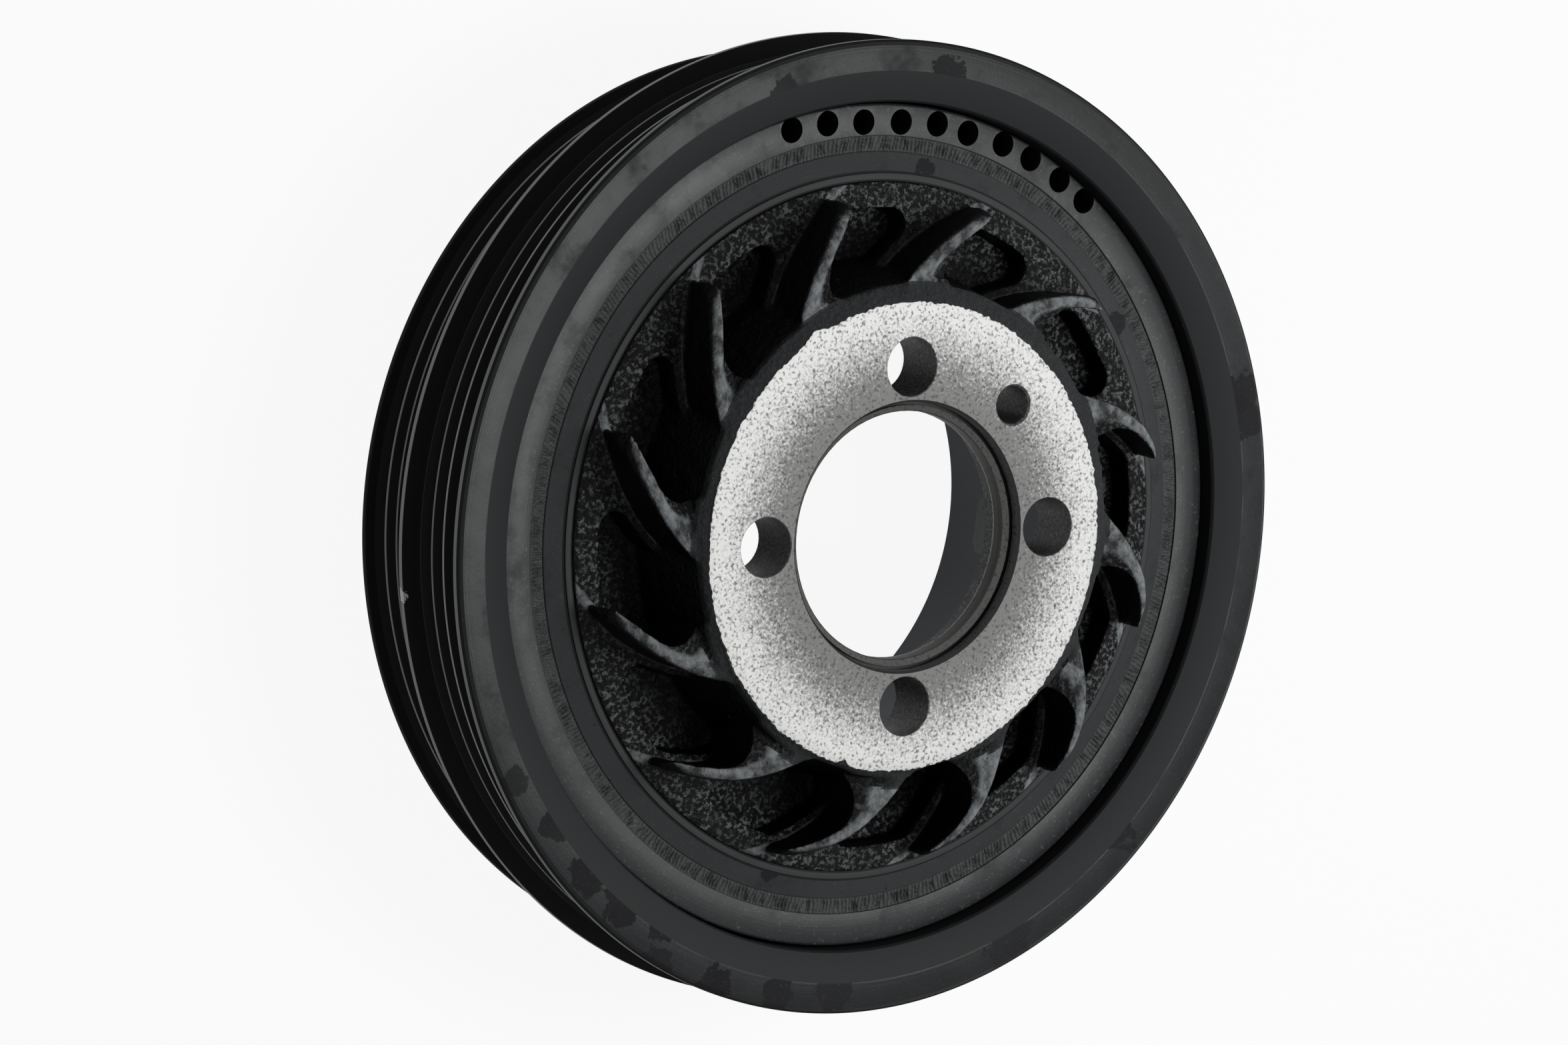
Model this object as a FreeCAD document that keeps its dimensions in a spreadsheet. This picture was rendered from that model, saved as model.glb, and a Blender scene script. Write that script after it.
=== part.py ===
import FreeCAD, Part
import Sketcher
import math
import os

# Crankshaft pulley with a torsional damper and a decoupled belt rim.
# Millimetres and degrees. The axis is +Z, the front (fan vane) side is up,
# and z = 0 is the rear end of the belt rim. +X passes through a bolt hole.

# Driving dimensions, each a cell of the sheet: alias, value, meaning.
DIMENSIONS = (
    ("front_rim_wall", 4.53, "metal between the belt rim's front bore and its groove floors"),
    ("rear_rim_wall", 3.63, "metal between the belt rim's rear bore and its groove floors"),
    ("rim_bore_step", 2.2, "step from the belt rim's front bore down to its rear bore"),
    ("rim_bore_step_depth", 19.0, "front face to the step between the two bores"),
    ("rim_mouth_width", 0.4, "radial width of the chamfer at the mouth of the rim's bore"),
    ("rim_mouth_depth", 1.5, "front face to the outer edge of the mouth chamfer"),
    ("rim_mouth_chamfer", 0.6, "axial height of the mouth chamfer"),
    ("rim_dish_width", 5.1, "radial width of the dished part of the face"),
    ("rim_bevel_width", 0.9, "radial width of the bevel outside the flat part of the face"),
    ("rim_face_bevel", 0.5, "axial height of the bevel outside the flat face"),
    ("front_flange_land", 1.25, "width of the front flange's outer land"),
    ("front_flange_height", 3.2, "height of the front flange above the rib crests"),
    ("middle_flange_land", 1.1, "width of the middle flange's outer land"),
    ("middle_flange_height", 3.0, "height of the middle flange above the front rib crests"),
    ("rear_flange_land", 1.2, "width of the rear flange's outer land"),
    ("rear_flange_height", 1.8, "height of the rear flange above the rear rib crests"),
    ("front_track_margin", 1.28, "front flange to the first front groove"),
    ("middle_track_margin", 1.23, "last front groove to the middle flange"),
    ("rear_track_margin", 0.22, "middle flange to the first rear groove"),
    ("end_track_margin", 0.18, "last rear groove to the rear flange"),
    ("front_groove_count", 4, "grooves of the front belt track"),
    ("rear_groove_count", 5, "grooves of the rear belt track"),
    ("groove_pitch", 3.56, "spacing of the belt grooves"),
    ("groove_mouth", 3.06, "width of a groove at the crests"),
    ("groove_floor", 0.9, "width of a groove at its floor"),
    ("groove_depth", 2.97, "depth of a groove below the crests"),
    ("rim_rear_chamfer", 0.5, "chamfer at the rear bore's edge"),
    ("ring_gap", 0.45, "running gap between the inertia ring and the belt rim"),
    ("ring_wall", 5.52, "radial thickness of the inertia ring at its face"),
    ("ring_face_depth", 4.2, "rim's front face to the inertia ring's face"),
    ("ring_edge", 0.4, "edge bevel of the inertia ring"),
    ("damper_thickness", 2.59, "radial thickness of the damper rubber"),
    ("damper_front_recess", 0.3, "damper rubber set back from the ring's face"),
    ("damper_rear_recess", 0.8, "damper rubber set back from the ring's rear end"),
    ("hub_rim_wall", 7.24, "radial thickness of the hub rim"),
    ("hub_rim_edge_depth", 4.28, "rim's front face to the hub rim's outer edge"),
    ("band_width", 3.64, "radial width of the machined hub band"),
    ("bead_width", 1.3, "radial width of the bead inside the machined band"),
    ("border_width", 4.5, "radial width of the cast border inside the bead"),
    ("band_inner_depth", 3.4, "rim's front face to the band's inner edge"),
    ("band_line_height", 0.35, "step up from the machined band to the bead"),
    ("border_depth", 2.5, "rim's front face to the cast border's outer edge"),
    ("web_face_depth", 1.5, "rim's front face to the web's face"),
    ("web_thickness", 10.0, "thickness of the hub web"),
    ("pocket_depth", 5.5, "depth of the cast pockets below the web's face"),
    ("pocket_corner", 3.0, "corner radius of the cast pockets"),
    ("pocket_ledge", 0.9, "ledge between a pocket and the vane beside it"),
    ("flange_rise", 9.86, "rim's front face to the hub flange's face"),
    ("flange_thickness", 9.96, "thickness of the hub flange at the bolt holes"),
    ("boss_wall", 3.4, "wall of the boss round the rear cavity, at its foot"),
    ("boss_slope", 3.0, "how much the boss narrows from its foot to its cast edge"),
    ("boss_ledge", 1.9, "cast edge of the boss to the machined face"),
    ("boss_edge_drop", 0.7, "machined face to the cast edge of the boss"),
    ("boss_offset", 1.3, "offset of the cast boss from the axis"),
    ("bore_radius", 23.0, "centring bore in the hub flange"),
    ("bore_depth", 1.9, "depth of the centring bore from the flange's face"),
    ("bore_chamfer", 0.4, "chamfer at the bore's edge"),
    ("lip_face_inset", 0.7, "centring bore to the edge of the lip's face"),
    ("lip_lead_width", 1.1, "radial width of the lead chamfer on the lip"),
    ("relief_undercut", 0.3, "how far the relief groove undercuts the centring bore"),
    ("pilot_ledge", 1.8, "width of the ledge behind the lip, out to the rear pilot bore"),
    ("lip_lead", 0.7, "axial height of the lead chamfer on the lip"),
    ("lip_depth", 5.16, "flange's face to the rear edge of the lip"),
    ("relief_depth", 0.8, "depth of the relief groove round the lip"),
    ("cup_radius", 46.0, "journal of the hub cup"),
    ("cup_wall", 4.8, "wall of the hub cup between its journal and the rear cavity"),
    ("cup_lip_height", 0.95, "length of the cup behind the retaining ring's groove"),
    ("cup_chamfer", 0.4, "chamfers of the hub cup's rear end"),
    ("shoulder_step", 3.5, "width of the shoulder that the bearing flange seats on"),
    ("shoulder_height", 4.2, "web's rear face to the shoulder"),
    ("bolt_ligament", 0.95, "metal between the centring bore and the bolt holes"),
    ("bolt_hole_radius", 5.05, "radius of the bolt holes"),
    ("bolt_hole_count", 4, "bolt holes in the hub flange"),
    ("bolt_hole_chamfer", 0.15, "chamfer of the bolt holes"),
    ("dowel_reach", 30.1, "distance of the dowel hole from the axis"),
    ("dowel_angle", 45.3, "direction of the dowel hole from +X"),
    ("dowel_radius", 3.3, "radius of the dowel hole"),
    ("dowel_chamfer", 0.35, "chamfer of the dowel hole"),
    ("vane_count", 12, "fan vanes on the hub web"),
    ("vane_arc_radius", 37.2, "radius of a vane's mean line"),
    ("vane_centre_reach", 32.8, "distance of the mean line's centre from the axis"),
    ("vane_centre_angle", -57.85, "direction of that centre for the first vane"),
    ("vane_thickness", 2.4, "thickness of a vane at its crest"),
    ("vane_draft", 3.5, "draft of a vane's walls"),
    ("vane_tip_overlap", 3.4, "how far a vane's tip runs over the cast border"),
    ("vane_root_depth", 1.2, "boss edge to the circle inside it that the root flares touch"),
    ("vane_flare_radius", 6.0, "radius of the flares at a vane's root"),
    ("vane_crest_drop", 1.1, "flange's face to the level part of a vane's crest"),
    ("vane_nose_radius", 8.4, "radius of the falling end of a vane's crest"),
    ("vane_nose_inset", 0.5, "vane tip to the end of the crest's fall"),
    ("balance_hole_radius", 2.2, "radius of the balance holes"),
    ("balance_hole_depth", 9.0, "depth of the balance holes"),
    ("disc_inset", 5.0, "rim's rear end to the drive disc's rear face"),
    ("disc_gauge", 2.2, "sheet thickness of the drive disc"),
    ("disc_flange_height", 4.7, "height of the drive disc's pressed-in flange"),
    ("disc_bend", 1.6, "outside radius of the drive disc's bends"),
    ("bush_wall", 1.6, "wall of the plain bearing"),
    ("bush_flange", 1.2, "thickness of the plain bearing's flange"),
    ("isolation_thickness", 4.8, "radial thickness of the isolation rubber"),
    ("carrier_gap", 2.3, "drive disc to the carrier ring's flange"),
    ("carrier_gauge", 2.4, "sheet thickness of the carrier ring"),
    ("carrier_reach", 10.0, "length of the carrier ring inside the hub rim"),
    ("carrier_flange_width", 5.0, "radial width of the carrier ring's flange"),
    ("rubber_end_gap", 0.6, "isolation rubber set back from the metal's ends"),
    ("washer_thickness", 1.2, "thickness of the thrust washer"),
    ("washer_width", 6.0, "radial width of the thrust washer"),
    ("snap_thickness", 1.2, "thickness of the retaining ring"),
    ("snap_groove_depth", 1.2, "depth of the retaining ring's groove in the journal"),
    ("snap_width", 3.4, "radial width of the retaining ring"),
    ("snap_mouth_angle", 24.0, "opening of the retaining ring"),
)

# Balance holes drilled in the inertia ring: shift outwards from the middle of the ring's
# face, direction from +X.
BALANCE_HOLES = (
    (0.63, 103.2),
    (0.19, 97.2),
    (-0.35, 91.1),
    (-0.30, 84.7),
    (0.24, 78.5),
    (0.06, 73.0),
    (0.62, 66.7),
    (0.77, 61.4),
    (0.71, 55.4),
    (0.86, 50.1),
)


class Size:
    """A value of the sheet, or a sum of them, with the expression that gives it."""

    def __init__(self, text, value):
        self.text = text
        self.value = value

    @staticmethod
    def of(number):
        """Return number as a Size, so that plain factors can be used."""
        if isinstance(number, Size):
            return number
        return Size(f"({number})", float(number))

    def __add__(self, other):
        other = Size.of(other)
        return Size(f"({self.text} + {other.text})", self.value + other.value)

    def __sub__(self, other):
        other = Size.of(other)
        return Size(f"({self.text} - {other.text})", self.value - other.value)

    def __mul__(self, other):
        other = Size.of(other)
        return Size(f"({self.text} * {other.text})", self.value * other.value)

    def __truediv__(self, other):
        other = Size.of(other)
        return Size(f"({self.text} / {other.text})", self.value / other.value)

    def __neg__(self):
        return Size(f"(0 - {self.text})", -self.value)

    def turned_x(self, angle):
        """Return the X place at this reach in the direction of angle."""
        value = self.value * math.cos(math.radians(angle.value))
        return Size(f"({self.text} * cos({angle.text} * 1 deg))", value)

    def turned_y(self, angle):
        """Return the Y place at this reach in the direction of angle."""
        value = self.value * math.sin(math.radians(angle.value))
        return Size(f"({self.text} * sin({angle.text} * 1 deg))", value)


class Sizes:
    """The sheet of driving dimensions and the sizes that follow from them."""

    def __init__(self, document):
        self.sheet = document.addObject("Spreadsheet::Sheet", "Sizes")
        for row, (alias, value, meaning) in enumerate(DIMENSIONS, start=1):
            self.add(row, alias, value, meaning)
        first_hole_row = len(DIMENSIONS) + 1
        for number, (shift, angle) in enumerate(BALANCE_HOLES, start=1):
            row = first_hole_row + 2 * (number - 1)
            self.add(row, f"balance_shift_{number}", shift, "a balance hole off the ring's middle")
            self.add(row + 1, f"balance_angle_{number}", angle, "its direction from +X")
        document.recompute()

    def add(self, row, alias, value, meaning):
        """Write one dimension into the sheet."""
        self.sheet.set(f"A{row}", meaning)
        self.sheet.set(f"B{row}", str(value))
        self.sheet.setAlias(f"B{row}", alias)

    def __getattr__(self, alias):
        return Size(f"Sizes.{alias}", float(self.sheet.get(alias)))

    # Radii, from the hub's journal out to the belt flanges.

    @property
    def cup_bore_radius(self):
        """Rear cavity of the hub."""
        return self.cup_radius - self.cup_wall

    @property
    def shoulder_radius(self):
        """Shoulder that the bearing flange seats on."""
        return self.cup_radius + self.shoulder_step

    @property
    def sleeve_bore_radius(self):
        """Inside of the drive disc's sleeve, which runs on the plain bearing."""
        return self.cup_radius + self.bush_wall

    @property
    def carrier_bore_radius(self):
        """Inside of the carrier ring, bonded to the isolation rubber."""
        return self.sleeve_bore_radius + self.disc_gauge + self.isolation_thickness

    @property
    def hub_rim_bore_radius(self):
        """Inside of the hub rim, where the carrier ring is pressed in."""
        return self.carrier_bore_radius + self.carrier_gauge

    @property
    def hub_rim_radius(self):
        """Joint of the hub rim and the damper rubber."""
        return self.hub_rim_bore_radius + self.hub_rim_wall

    @property
    def damper_outer_radius(self):
        """Joint of the damper rubber and the inertia ring."""
        return self.hub_rim_radius + self.damper_thickness

    @property
    def ring_middle_radius(self):
        """Middle of the inertia ring's face."""
        return self.damper_outer_radius + self.ring_wall / 2

    @property
    def rim_front_bore_radius(self):
        """Belt rim bore around the inertia ring."""
        return self.damper_outer_radius + self.ring_wall + self.ring_gap

    @property
    def rim_rear_bore_radius(self):
        """Belt rim bore around the drive disc."""
        return self.rim_front_bore_radius - self.rim_bore_step

    @property
    def front_crest_radius(self):
        """Rib crests of the front belt track."""
        return self.rim_front_bore_radius + self.front_rim_wall + self.groove_depth

    @property
    def rear_crest_radius(self):
        """Rib crests of the rear belt track."""
        return self.rim_rear_bore_radius + self.rear_rim_wall + self.groove_depth

    @property
    def front_flange_radius(self):
        """Front belt flange."""
        return self.front_crest_radius + self.front_flange_height

    # Radii of the hub's front, from its rim in to the boss.

    @property
    def band_inner_radius(self):
        """Inner edge of the machined hub band."""
        return self.hub_rim_radius - self.band_width

    @property
    def bead_inner_radius(self):
        """Inner edge of the bead beside the cast border."""
        return self.band_inner_radius - self.bead_width

    @property
    def border_inner_radius(self):
        """Inner edge of the cast border and outer wall of the pockets."""
        return self.bead_inner_radius - self.border_width

    @property
    def vane_tip_reach(self):
        """Distance of a vane's tip from the axis."""
        return self.border_inner_radius + self.vane_tip_overlap

    @property
    def vane_nose_reach(self):
        """Distance from the axis where the fall of a vane's crest ends."""
        return self.vane_tip_reach - self.vane_nose_inset

    @property
    def boss_foot_radius(self):
        """Boss at the floor of the pockets."""
        return self.cup_bore_radius + self.boss_wall

    @property
    def boss_radius(self):
        """Cast edge of the boss behind the machined face."""
        return self.boss_foot_radius - self.boss_slope

    @property
    def flange_face_radius(self):
        """Machined face of the hub flange."""
        return self.boss_radius - self.boss_ledge

    @property
    def vane_root_radius(self):
        """Circle inside the boss that the root flares of the vanes touch."""
        return self.boss_radius - self.vane_root_depth

    # Radii of the flange's bore and holes.

    @property
    def lip_face_radius(self):
        """Inner edge of the relief groove round the lip."""
        return self.bore_radius - self.lip_face_inset

    @property
    def lip_radius(self):
        """Bore of the lip behind the centring bore."""
        return self.lip_face_radius - self.lip_lead_width

    @property
    def relief_radius(self):
        """Outer radius of the relief groove."""
        return self.bore_radius + self.relief_undercut

    @property
    def pilot_radius(self):
        """Rear pilot bore for the crankshaft's nose."""
        return self.lip_radius + self.pilot_ledge

    @property
    def bolt_circle_radius(self):
        """Pitch circle radius of the bolt holes."""
        return self.bore_radius + self.bolt_ligament + self.bolt_hole_radius

    # Depths along the rim, from its front face back to its rear end.

    @property
    def front_track_depth(self):
        """Middle of the first front groove."""
        flange = self.rim_face_bevel + self.front_flange_land
        return flange + self.front_track_margin + self.groove_mouth / 2

    @property
    def middle_flange_depth(self):
        """Front wall of the flange between the two tracks."""
        last = self.front_track_depth + self.groove_pitch * (self.front_groove_count - 1)
        return last + self.groove_mouth / 2 + self.middle_track_margin

    @property
    def rear_track_depth(self):
        """Middle of the first rear groove."""
        flange = self.middle_flange_depth + self.middle_flange_land
        return flange + self.rear_track_margin + self.groove_mouth / 2

    @property
    def rim_width(self):
        """Belt rim from its rear end to its front face."""
        last = self.rear_track_depth + self.groove_pitch * (self.rear_groove_count - 1)
        return last + self.groove_mouth / 2 + self.end_track_margin + self.rear_flange_land


def origin_feature(body, role):
    """Return the body's own origin plane or axis that has this role."""
    return next(feature for feature in body.Origin.OriginFeatures if feature.Role == role)


def make_body(document, label):
    """Return a new body at the part's origin, labelled with its node's name."""
    body = document.addObject("PartDesign::Body", label)
    body.Label = label
    body.Placement = FreeCAD.Placement()
    return body


def make_sketch(body, name, plane="XZ_Plane", height=None):
    """Return an empty sketch on an origin plane of the body, raised by height."""
    sketch = body.newObject("Sketcher::SketchObject", name)
    sketch.AttachmentSupport = [(origin_feature(body, plane), "")]
    sketch.MapMode = "FlatFace"
    if height is not None:
        sketch.AttachmentOffset = FreeCAD.Placement(
            FreeCAD.Vector(0, 0, height.value), FreeCAD.Rotation())
        sketch.setExpression("AttachmentOffset.Base.z", height.text)
    return sketch


def constrain(sketch, size, *constraint):
    """Add a constraint whose value is bound to size."""
    index = sketch.addConstraint(Sketcher.Constraint(*constraint, size.value))
    sketch.setExpression(f"Constraints[{index}]", size.text)


def pin(sketch, geometry, point, x, y):
    """Bind a point of the sketch to its distances from the origin."""
    constrain(sketch, x, "DistanceX", -1, 1, geometry, point)
    constrain(sketch, y, "DistanceY", -1, 1, geometry, point)


def add_outline(sketch, corners):
    """Draw straight sides through the corners, each corner bound to its sizes."""
    points = [FreeCAD.Vector(x.value, y.value, 0) for x, y in corners]
    following = points[1:] + points[:1]
    first = sketch.GeometryCount
    sketch.addGeometry([Part.LineSegment(a, b) for a, b in zip(points, following)], False)
    for number, (x, y) in enumerate(corners):
        here = first + number
        after = first + (number + 1) % len(corners)
        sketch.addConstraint(Sketcher.Constraint("Coincident", here, 2, after, 1))
        pin(sketch, here, 1, x, y)


def add_circle(sketch, x, y, radius):
    """Draw a circle bound to its place and radius."""
    centre = FreeCAD.Vector(x.value, y.value, 0)
    circle = sketch.addGeometry(Part.Circle(centre, FreeCAD.Vector(0, 0, 1), radius.value), False)
    constrain(sketch, radius, "Radius", circle)
    pin(sketch, circle, 3, x, y)


def add_arc(sketch, centre, start, end):
    """Draw the arc that runs anticlockwise from start to end; returns its index."""
    radius = math.hypot(start[0] - centre[0], start[1] - centre[1])
    first = math.atan2(start[1] - centre[1], start[0] - centre[0])
    last = math.atan2(end[1] - centre[1], end[0] - centre[0])
    if last < first:
        last += 2 * math.pi
    whole = Part.Circle(FreeCAD.Vector(*centre, 0), FreeCAD.Vector(0, 0, 1), radius)
    return sketch.addGeometry(Part.ArcOfCircle(whole, first, last), False)


def circles_meet(centre_a, radius_a, centre_b, radius_b, left):
    """Return where two circles cross, left or right of the way from a to b."""
    along = math.hypot(centre_b[0] - centre_a[0], centre_b[1] - centre_a[1])
    towards = ((centre_b[0] - centre_a[0]) / along, (centre_b[1] - centre_a[1]) / along)
    share = (along ** 2 + radius_a ** 2 - radius_b ** 2) / (2 * along)
    aside = math.sqrt(radius_a ** 2 - share ** 2) * (1 if left else -1)
    return (
        centre_a[0] + share * towards[0] - aside * towards[1],
        centre_a[1] + share * towards[1] + aside * towards[0],
    )


def reach_along(centre, point, radius):
    """Return the point at radius from centre on the ray through point."""
    distance = math.hypot(point[0] - centre[0], point[1] - centre[1])
    share = radius / distance
    return (
        centre[0] + (point[0] - centre[0]) * share,
        centre[1] + (point[1] - centre[1]) * share,
    )


def revolve(body, sketch, name, kind="PartDesign::Revolution"):
    """Turn the sketch round the axis, as material or as a groove."""
    feature = body.newObject(kind, name)
    feature.Profile = sketch
    feature.ReferenceAxis = (sketch, ["V_Axis"])
    feature.Angle = 360
    return feature


def turned(document, label, corners):
    """Return a body turned from one section given as (radius, height) corners."""
    body = make_body(document, label)
    sketch = make_sketch(body, f"{label}_section")
    add_outline(sketch, corners)
    revolve(body, sketch, f"{label}_turned")
    document.recompute()
    return body


def around(body, feature, name, count):
    """Repeat a feature round the axis, count times."""
    pattern = body.newObject("PartDesign::PolarPattern", name)
    pattern.Originals = [feature]
    pattern.Axis = (origin_feature(body, "Z_Axis"), [""])
    pattern.Angle = 360
    pattern.setExpression("Occurrences", count.text)
    body.Tip = pattern
    return pattern


def cut_into(body, sketch, name, depth=None):
    """Cut the sketch down into the body, right through where no depth is given."""
    pocket = body.newObject("PartDesign::Pocket", name)
    pocket.Profile = sketch
    if depth is None:
        pocket.Type = "ThroughAll"
    else:
        pocket.Length = depth.value
        pocket.setExpression("Length", depth.text)
    return pocket


def circle_edges(shape, radius, heights):
    """Return the names of the circular edges with this radius at these heights."""
    names = []
    for number, edge in enumerate(shape.Edges, start=1):
        curve = edge.Curve
        if not isinstance(curve, Part.Circle) or abs(curve.Radius - radius.value) > 1e-4:
            continue
        if any(abs(curve.Center.z - height.value) < 1e-4 for height in heights):
            names.append(f"Edge{number}")
    return names


def dress(document, body, kind, name, base, edges, size):
    """Chamfer or round edges of the base feature by size."""
    feature = body.newObject(kind, name)
    feature.Base = (base, edges)
    prop = "Size" if kind == "PartDesign::Chamfer" else "Radius"
    feature.setExpression(prop, size.text)
    document.recompute()
    return feature


# Belt rim.

def cut_grooves(body, dims, name, crest, first_depth, count):
    """Cut one belt groove and repeat it along the axis."""
    sketch = make_sketch(body, f"{name}_section")
    middle = dims.rim_width - first_depth
    floor = crest - dims.groove_depth
    above = crest + dims.groove_depth
    mouth = dims.groove_mouth / 2
    root = dims.groove_floor / 2
    add_outline(sketch, (
        (floor, middle - root),
        (crest, middle - mouth),
        (above, middle - mouth),
        (above, middle + mouth),
        (crest, middle + mouth),
        (floor, middle + root),
    ))
    groove = revolve(body, sketch, name, "PartDesign::Groove")
    pattern = body.newObject("PartDesign::LinearPattern", f"{name}s")
    pattern.Originals = [groove]
    pattern.Direction = (origin_feature(body, "Z_Axis"), [""])
    pattern.Reversed = True
    pattern.Mode = "Spacing"
    pattern.setExpression("Offset", dims.groove_pitch.text)
    pattern.setExpression("Occurrences", count.text)
    body.Tip = pattern


def make_belt_rim(document, dims):
    """The rim with a front track for one belt and a smaller rear track for another."""
    front = dims.rim_width
    mouth_top = front - dims.rim_mouth_depth
    flange_front = front - dims.rim_face_bevel
    flange_rear = flange_front - dims.front_flange_land
    middle_front = front - dims.middle_flange_depth
    middle_rear = middle_front - dims.middle_flange_land
    bore_step = front - dims.rim_bore_step_depth
    mouth = dims.rim_front_bore_radius + dims.rim_mouth_width
    rear_flange = dims.rear_crest_radius + dims.rear_flange_height
    middle_flange = dims.front_crest_radius + dims.middle_flange_height
    chamfer = dims.rim_rear_chamfer
    rear = Size.of(0)
    body = turned(document, "belt_rim", (
        (dims.rim_rear_bore_radius + chamfer, rear),
        (rear_flange, rear),
        (rear_flange, dims.rear_flange_land),
        (dims.rear_crest_radius, dims.rear_flange_land),
        (dims.rear_crest_radius, middle_rear),
        (middle_flange, middle_rear),
        (middle_flange, middle_front),
        (dims.front_crest_radius, middle_front),
        (dims.front_crest_radius, flange_rear),
        (dims.front_flange_radius, flange_rear),
        (dims.front_flange_radius, flange_front),
        (dims.front_flange_radius - dims.rim_bevel_width, front),
        (mouth + dims.rim_dish_width, front),
        (mouth, mouth_top),
        (dims.rim_front_bore_radius, mouth_top - dims.rim_mouth_chamfer),
        (dims.rim_front_bore_radius, bore_step),
        (dims.rim_rear_bore_radius, bore_step),
        (dims.rim_rear_bore_radius, chamfer),
    ))
    cut_grooves(body, dims, "front_groove", dims.front_crest_radius,
                dims.front_track_depth, dims.front_groove_count)
    cut_grooves(body, dims, "rear_groove", dims.rear_crest_radius,
                dims.rear_track_depth, dims.rear_groove_count)
    document.recompute()
    return body


# Damper: inertia ring and the rubber that bonds it to the hub.

def damper_rear(dims):
    """Height of the rear end of the hub rim and of the inertia ring."""
    disc_front = dims.disc_inset + dims.disc_gauge
    return disc_front + dims.carrier_gap + dims.carrier_gauge


def make_inertia_ring(document, dims):
    """The ring with its balance holes, stepped like the belt rim's bore."""
    face = dims.rim_width - dims.ring_face_depth
    rear = damper_rear(dims)
    step = dims.rim_width - dims.rim_bore_step_depth + dims.ring_gap
    outer = dims.damper_outer_radius + dims.ring_wall
    skirt = dims.rim_rear_bore_radius - dims.ring_gap
    edge = dims.ring_edge
    body = turned(document, "inertia_ring", (
        (dims.damper_outer_radius, rear),
        (skirt - edge, rear),
        (skirt, rear + edge),
        (skirt, step),
        (outer, step),
        (outer, face - edge),
        (outer - edge, face),
        (dims.damper_outer_radius, face),
    ))
    sketch = make_sketch(body, "balance_hole_places", "XY_Plane", face)
    for number in range(1, len(BALANCE_HOLES) + 1):
        reach = dims.ring_middle_radius + getattr(dims, f"balance_shift_{number}")
        angle = getattr(dims, f"balance_angle_{number}")
        add_circle(sketch, reach.turned_x(angle), reach.turned_y(angle), dims.balance_hole_radius)
    cut_into(body, sketch, "balance_holes", dims.balance_hole_depth)
    document.recompute()
    return body


def make_damper_rubber(document, dims):
    """The rubber ring bonded between the hub rim and the inertia ring."""
    top = dims.rim_width - dims.ring_face_depth - dims.damper_front_recess
    bottom = damper_rear(dims) + dims.damper_rear_recess
    return turned(document, "damper_rubber", (
        (dims.hub_rim_radius, bottom),
        (dims.damper_outer_radius, bottom),
        (dims.damper_outer_radius, top),
        (dims.hub_rim_radius, top),
    ))


# Hub: flange, boss, web with vanes and pockets, rim and rear cup in one casting.

def web_top(dims):
    """Height of the web's face, where the vanes and pockets begin."""
    return dims.rim_width - dims.web_face_depth


def web_rear(dims):
    """Height of the web's rear face."""
    return web_top(dims) - dims.web_thickness


def flange_top(dims):
    """Height of the machined face of the hub flange."""
    return dims.rim_width + dims.flange_rise


def snap_top(dims):
    """Height of the front face of the retaining ring."""
    return dims.disc_inset - dims.washer_thickness


def cup_end(dims):
    """Height of the hub cup's rear end."""
    return snap_top(dims) - dims.snap_thickness - dims.cup_lip_height


def hub_blank_section(dims):
    """Outer section of the hub, solid to the axis, without boss and vanes."""
    axis = Size.of(0)
    top = flange_top(dims)
    border = dims.rim_width - dims.border_depth
    band = dims.rim_width - dims.band_inner_depth
    bead = band + dims.band_line_height
    rim_rear = damper_rear(dims)
    shoulder = web_rear(dims) - dims.shoulder_height
    chamfer = dims.cup_chamfer
    snap_rear = snap_top(dims) - dims.snap_thickness
    snap_seat = dims.cup_radius - dims.snap_groove_depth
    end = cup_end(dims)
    return (
        (axis, top),
        (dims.flange_face_radius, top),
        (dims.flange_face_radius, web_top(dims)),
        (dims.border_inner_radius, web_top(dims)),
        (dims.bead_inner_radius, border),
        (dims.bead_inner_radius, bead),
        (dims.band_inner_radius, bead),
        (dims.band_inner_radius, band),
        (dims.hub_rim_radius, dims.rim_width - dims.hub_rim_edge_depth),
        (dims.hub_rim_radius, rim_rear),
        (dims.hub_rim_bore_radius, rim_rear),
        (dims.hub_rim_bore_radius, web_rear(dims)),
        (dims.shoulder_radius, web_rear(dims)),
        (dims.shoulder_radius, shoulder),
        (dims.cup_radius, shoulder),
        (dims.cup_radius, snap_top(dims)),
        (snap_seat, snap_top(dims)),
        (snap_seat, snap_rear),
        (dims.cup_radius, snap_rear),
        (dims.cup_radius, end + chamfer),
        (dims.cup_radius - chamfer, end),
        (axis, end),
    )


def hub_bore_section(dims):
    """Section of what is bored out of the hub, from the flange's face to the cup's end."""
    axis = Size.of(0)
    top = flange_top(dims)
    bore_floor = top - dims.bore_depth
    lip_rear = top - dims.lip_depth
    flange_rear = top - dims.flange_thickness
    chamfer = dims.cup_chamfer
    end = cup_end(dims)
    return (
        (axis, top),
        (axis, end),
        (dims.cup_bore_radius + chamfer, end),
        (dims.cup_bore_radius, end + chamfer),
        (dims.cup_bore_radius, flange_rear),
        (dims.pilot_radius, flange_rear),
        (dims.pilot_radius, lip_rear),
        (dims.lip_radius, lip_rear),
        (dims.lip_radius, bore_floor - dims.lip_lead),
        (dims.lip_face_radius, bore_floor),
        (dims.lip_face_radius, bore_floor - dims.relief_depth),
        (dims.relief_radius, bore_floor - dims.relief_depth),
        (dims.relief_radius, bore_floor),
        (dims.bore_radius, bore_floor),
        (dims.bore_radius, top - dims.bore_chamfer),
        (dims.bore_radius + dims.bore_chamfer, top),
    )


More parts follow.
